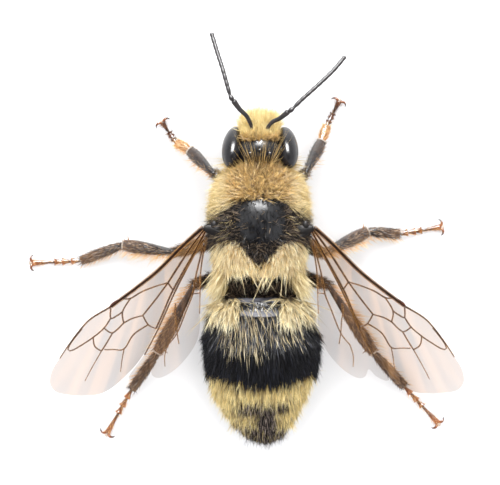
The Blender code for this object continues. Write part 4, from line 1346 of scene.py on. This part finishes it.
# Each coat piece: its hair, its slot, and the shares of the skin's length that its map spreads over.
COATS = {
    "face": ("face", "coat_yellow", (0.0, 0.16)),
    "collar": ("collar", "coat_yellow", (0.0, 0.48)),
    "shoulders": ("shoulders", "coat_yellow", (0.05, 0.5)),
    "saddle": ("saddle", "coat_black", (0.04, 0.5)),
    "lobes": ("lobes", "coat_yellow", (0.33, 0.48)),
    "flanks": ("flanks", "coat_yellow", (0.12, 0.55)),
    "pale": ("pale", "coat_yellow", (0.52, 0.64)),
    "gold": ("gold", "coat_yellow", (0.59, 0.72)),
    "black_band": ("black", "coat_black", (0.55, 0.84)),
    "belly": ("black", "coat_black", (0.55, 1.0)),
    "tail": ("tail", "coat_yellow", (0.76, 1.0)),
    "tail_black": ("tail_black", "coat_black", (0.76, 1.0)),
    "legs": ("leg", "leg", (0.0, 1.0)),
    "fringes": ("fringe", "leg", (0.0, 1.0)),
}


def bare_coats():
    """The coat pieces in the order of COATS, before any hair has grown."""
    hairs = {kind: hair_material(kind, *tones, **rest) for kind, (*tones, rest) in HAIRS.items()}
    return [Coat("coat_" + name, hairs[kind], slot, rows)
            for name, (kind, slot, rows) in COATS.items()]


def build_coats(skin, coats):
    face, collar, shoulders, saddle, lobes, flanks, pale, gold, black, belly, tail, tail_black = coats
    grow_head(skin, face, collar, shoulders, saddle)
    grow_thorax(skin, collar, shoulders, saddle, lobes, flanks)
    grow_abdomen(skin, pale, gold, black, belly, tail, tail_black)
    for coat in coats:
        coat.build()


def build_legs(dark_coat, orange_coat):
    finishes = {
        "leg": leg_material("leg_shell", (0.26, 0.1, 0.03), (0.55, 0.27, 0.1)),
        "foot": leg_material("foot_shell", (0.2, 0.05, 0.015), (0.5, 0.17, 0.05)),
        "pad": shell_material("pad_skin", (0.45, 0.36, 0.28), (0.65, 0.55, 0.45), roughness=0.6),
    }
    for column, leg in enumerate(LEGS):
        build_leg(leg, finishes, dark_coat, orange_coat, column)
    dark_coat.build()
    orange_coat.build()


def main():
    shell = shell_material("dark_shell", (0.01, 0.009, 0.01), (0.035, 0.03, 0.03))
    dull = shell_material("dull_shell", (0.003, 0.002, 0.002), (0.012, 0.008, 0.006), roughness=0.48,
                          Specular_IOR_Level=0.14)
    eye = shell_material("eye_lens", (0.008, 0.007, 0.008), (0.018, 0.017, 0.019), 2.0, 0.25, 0.001,
                         Specular_IOR_Level=0.26)
    feeler = shell_material("feeler_shell", (0.007, 0.005, 0.006), (0.026, 0.019, 0.02),
                            roughness=0.42, bump_mm=0.006, Specular_IOR_Level=0.35)
    skin = skin_surface()
    build_skin(skin, skin_material())
    build_head_pieces(eye, shell)
    build_feelers(feeler)
    build_tegulae(dull)
    coats = bare_coats()
    build_coats(skin, coats[:-2])
    build_legs(*coats[-2:])
    build_wings()
    build_stage()


main()
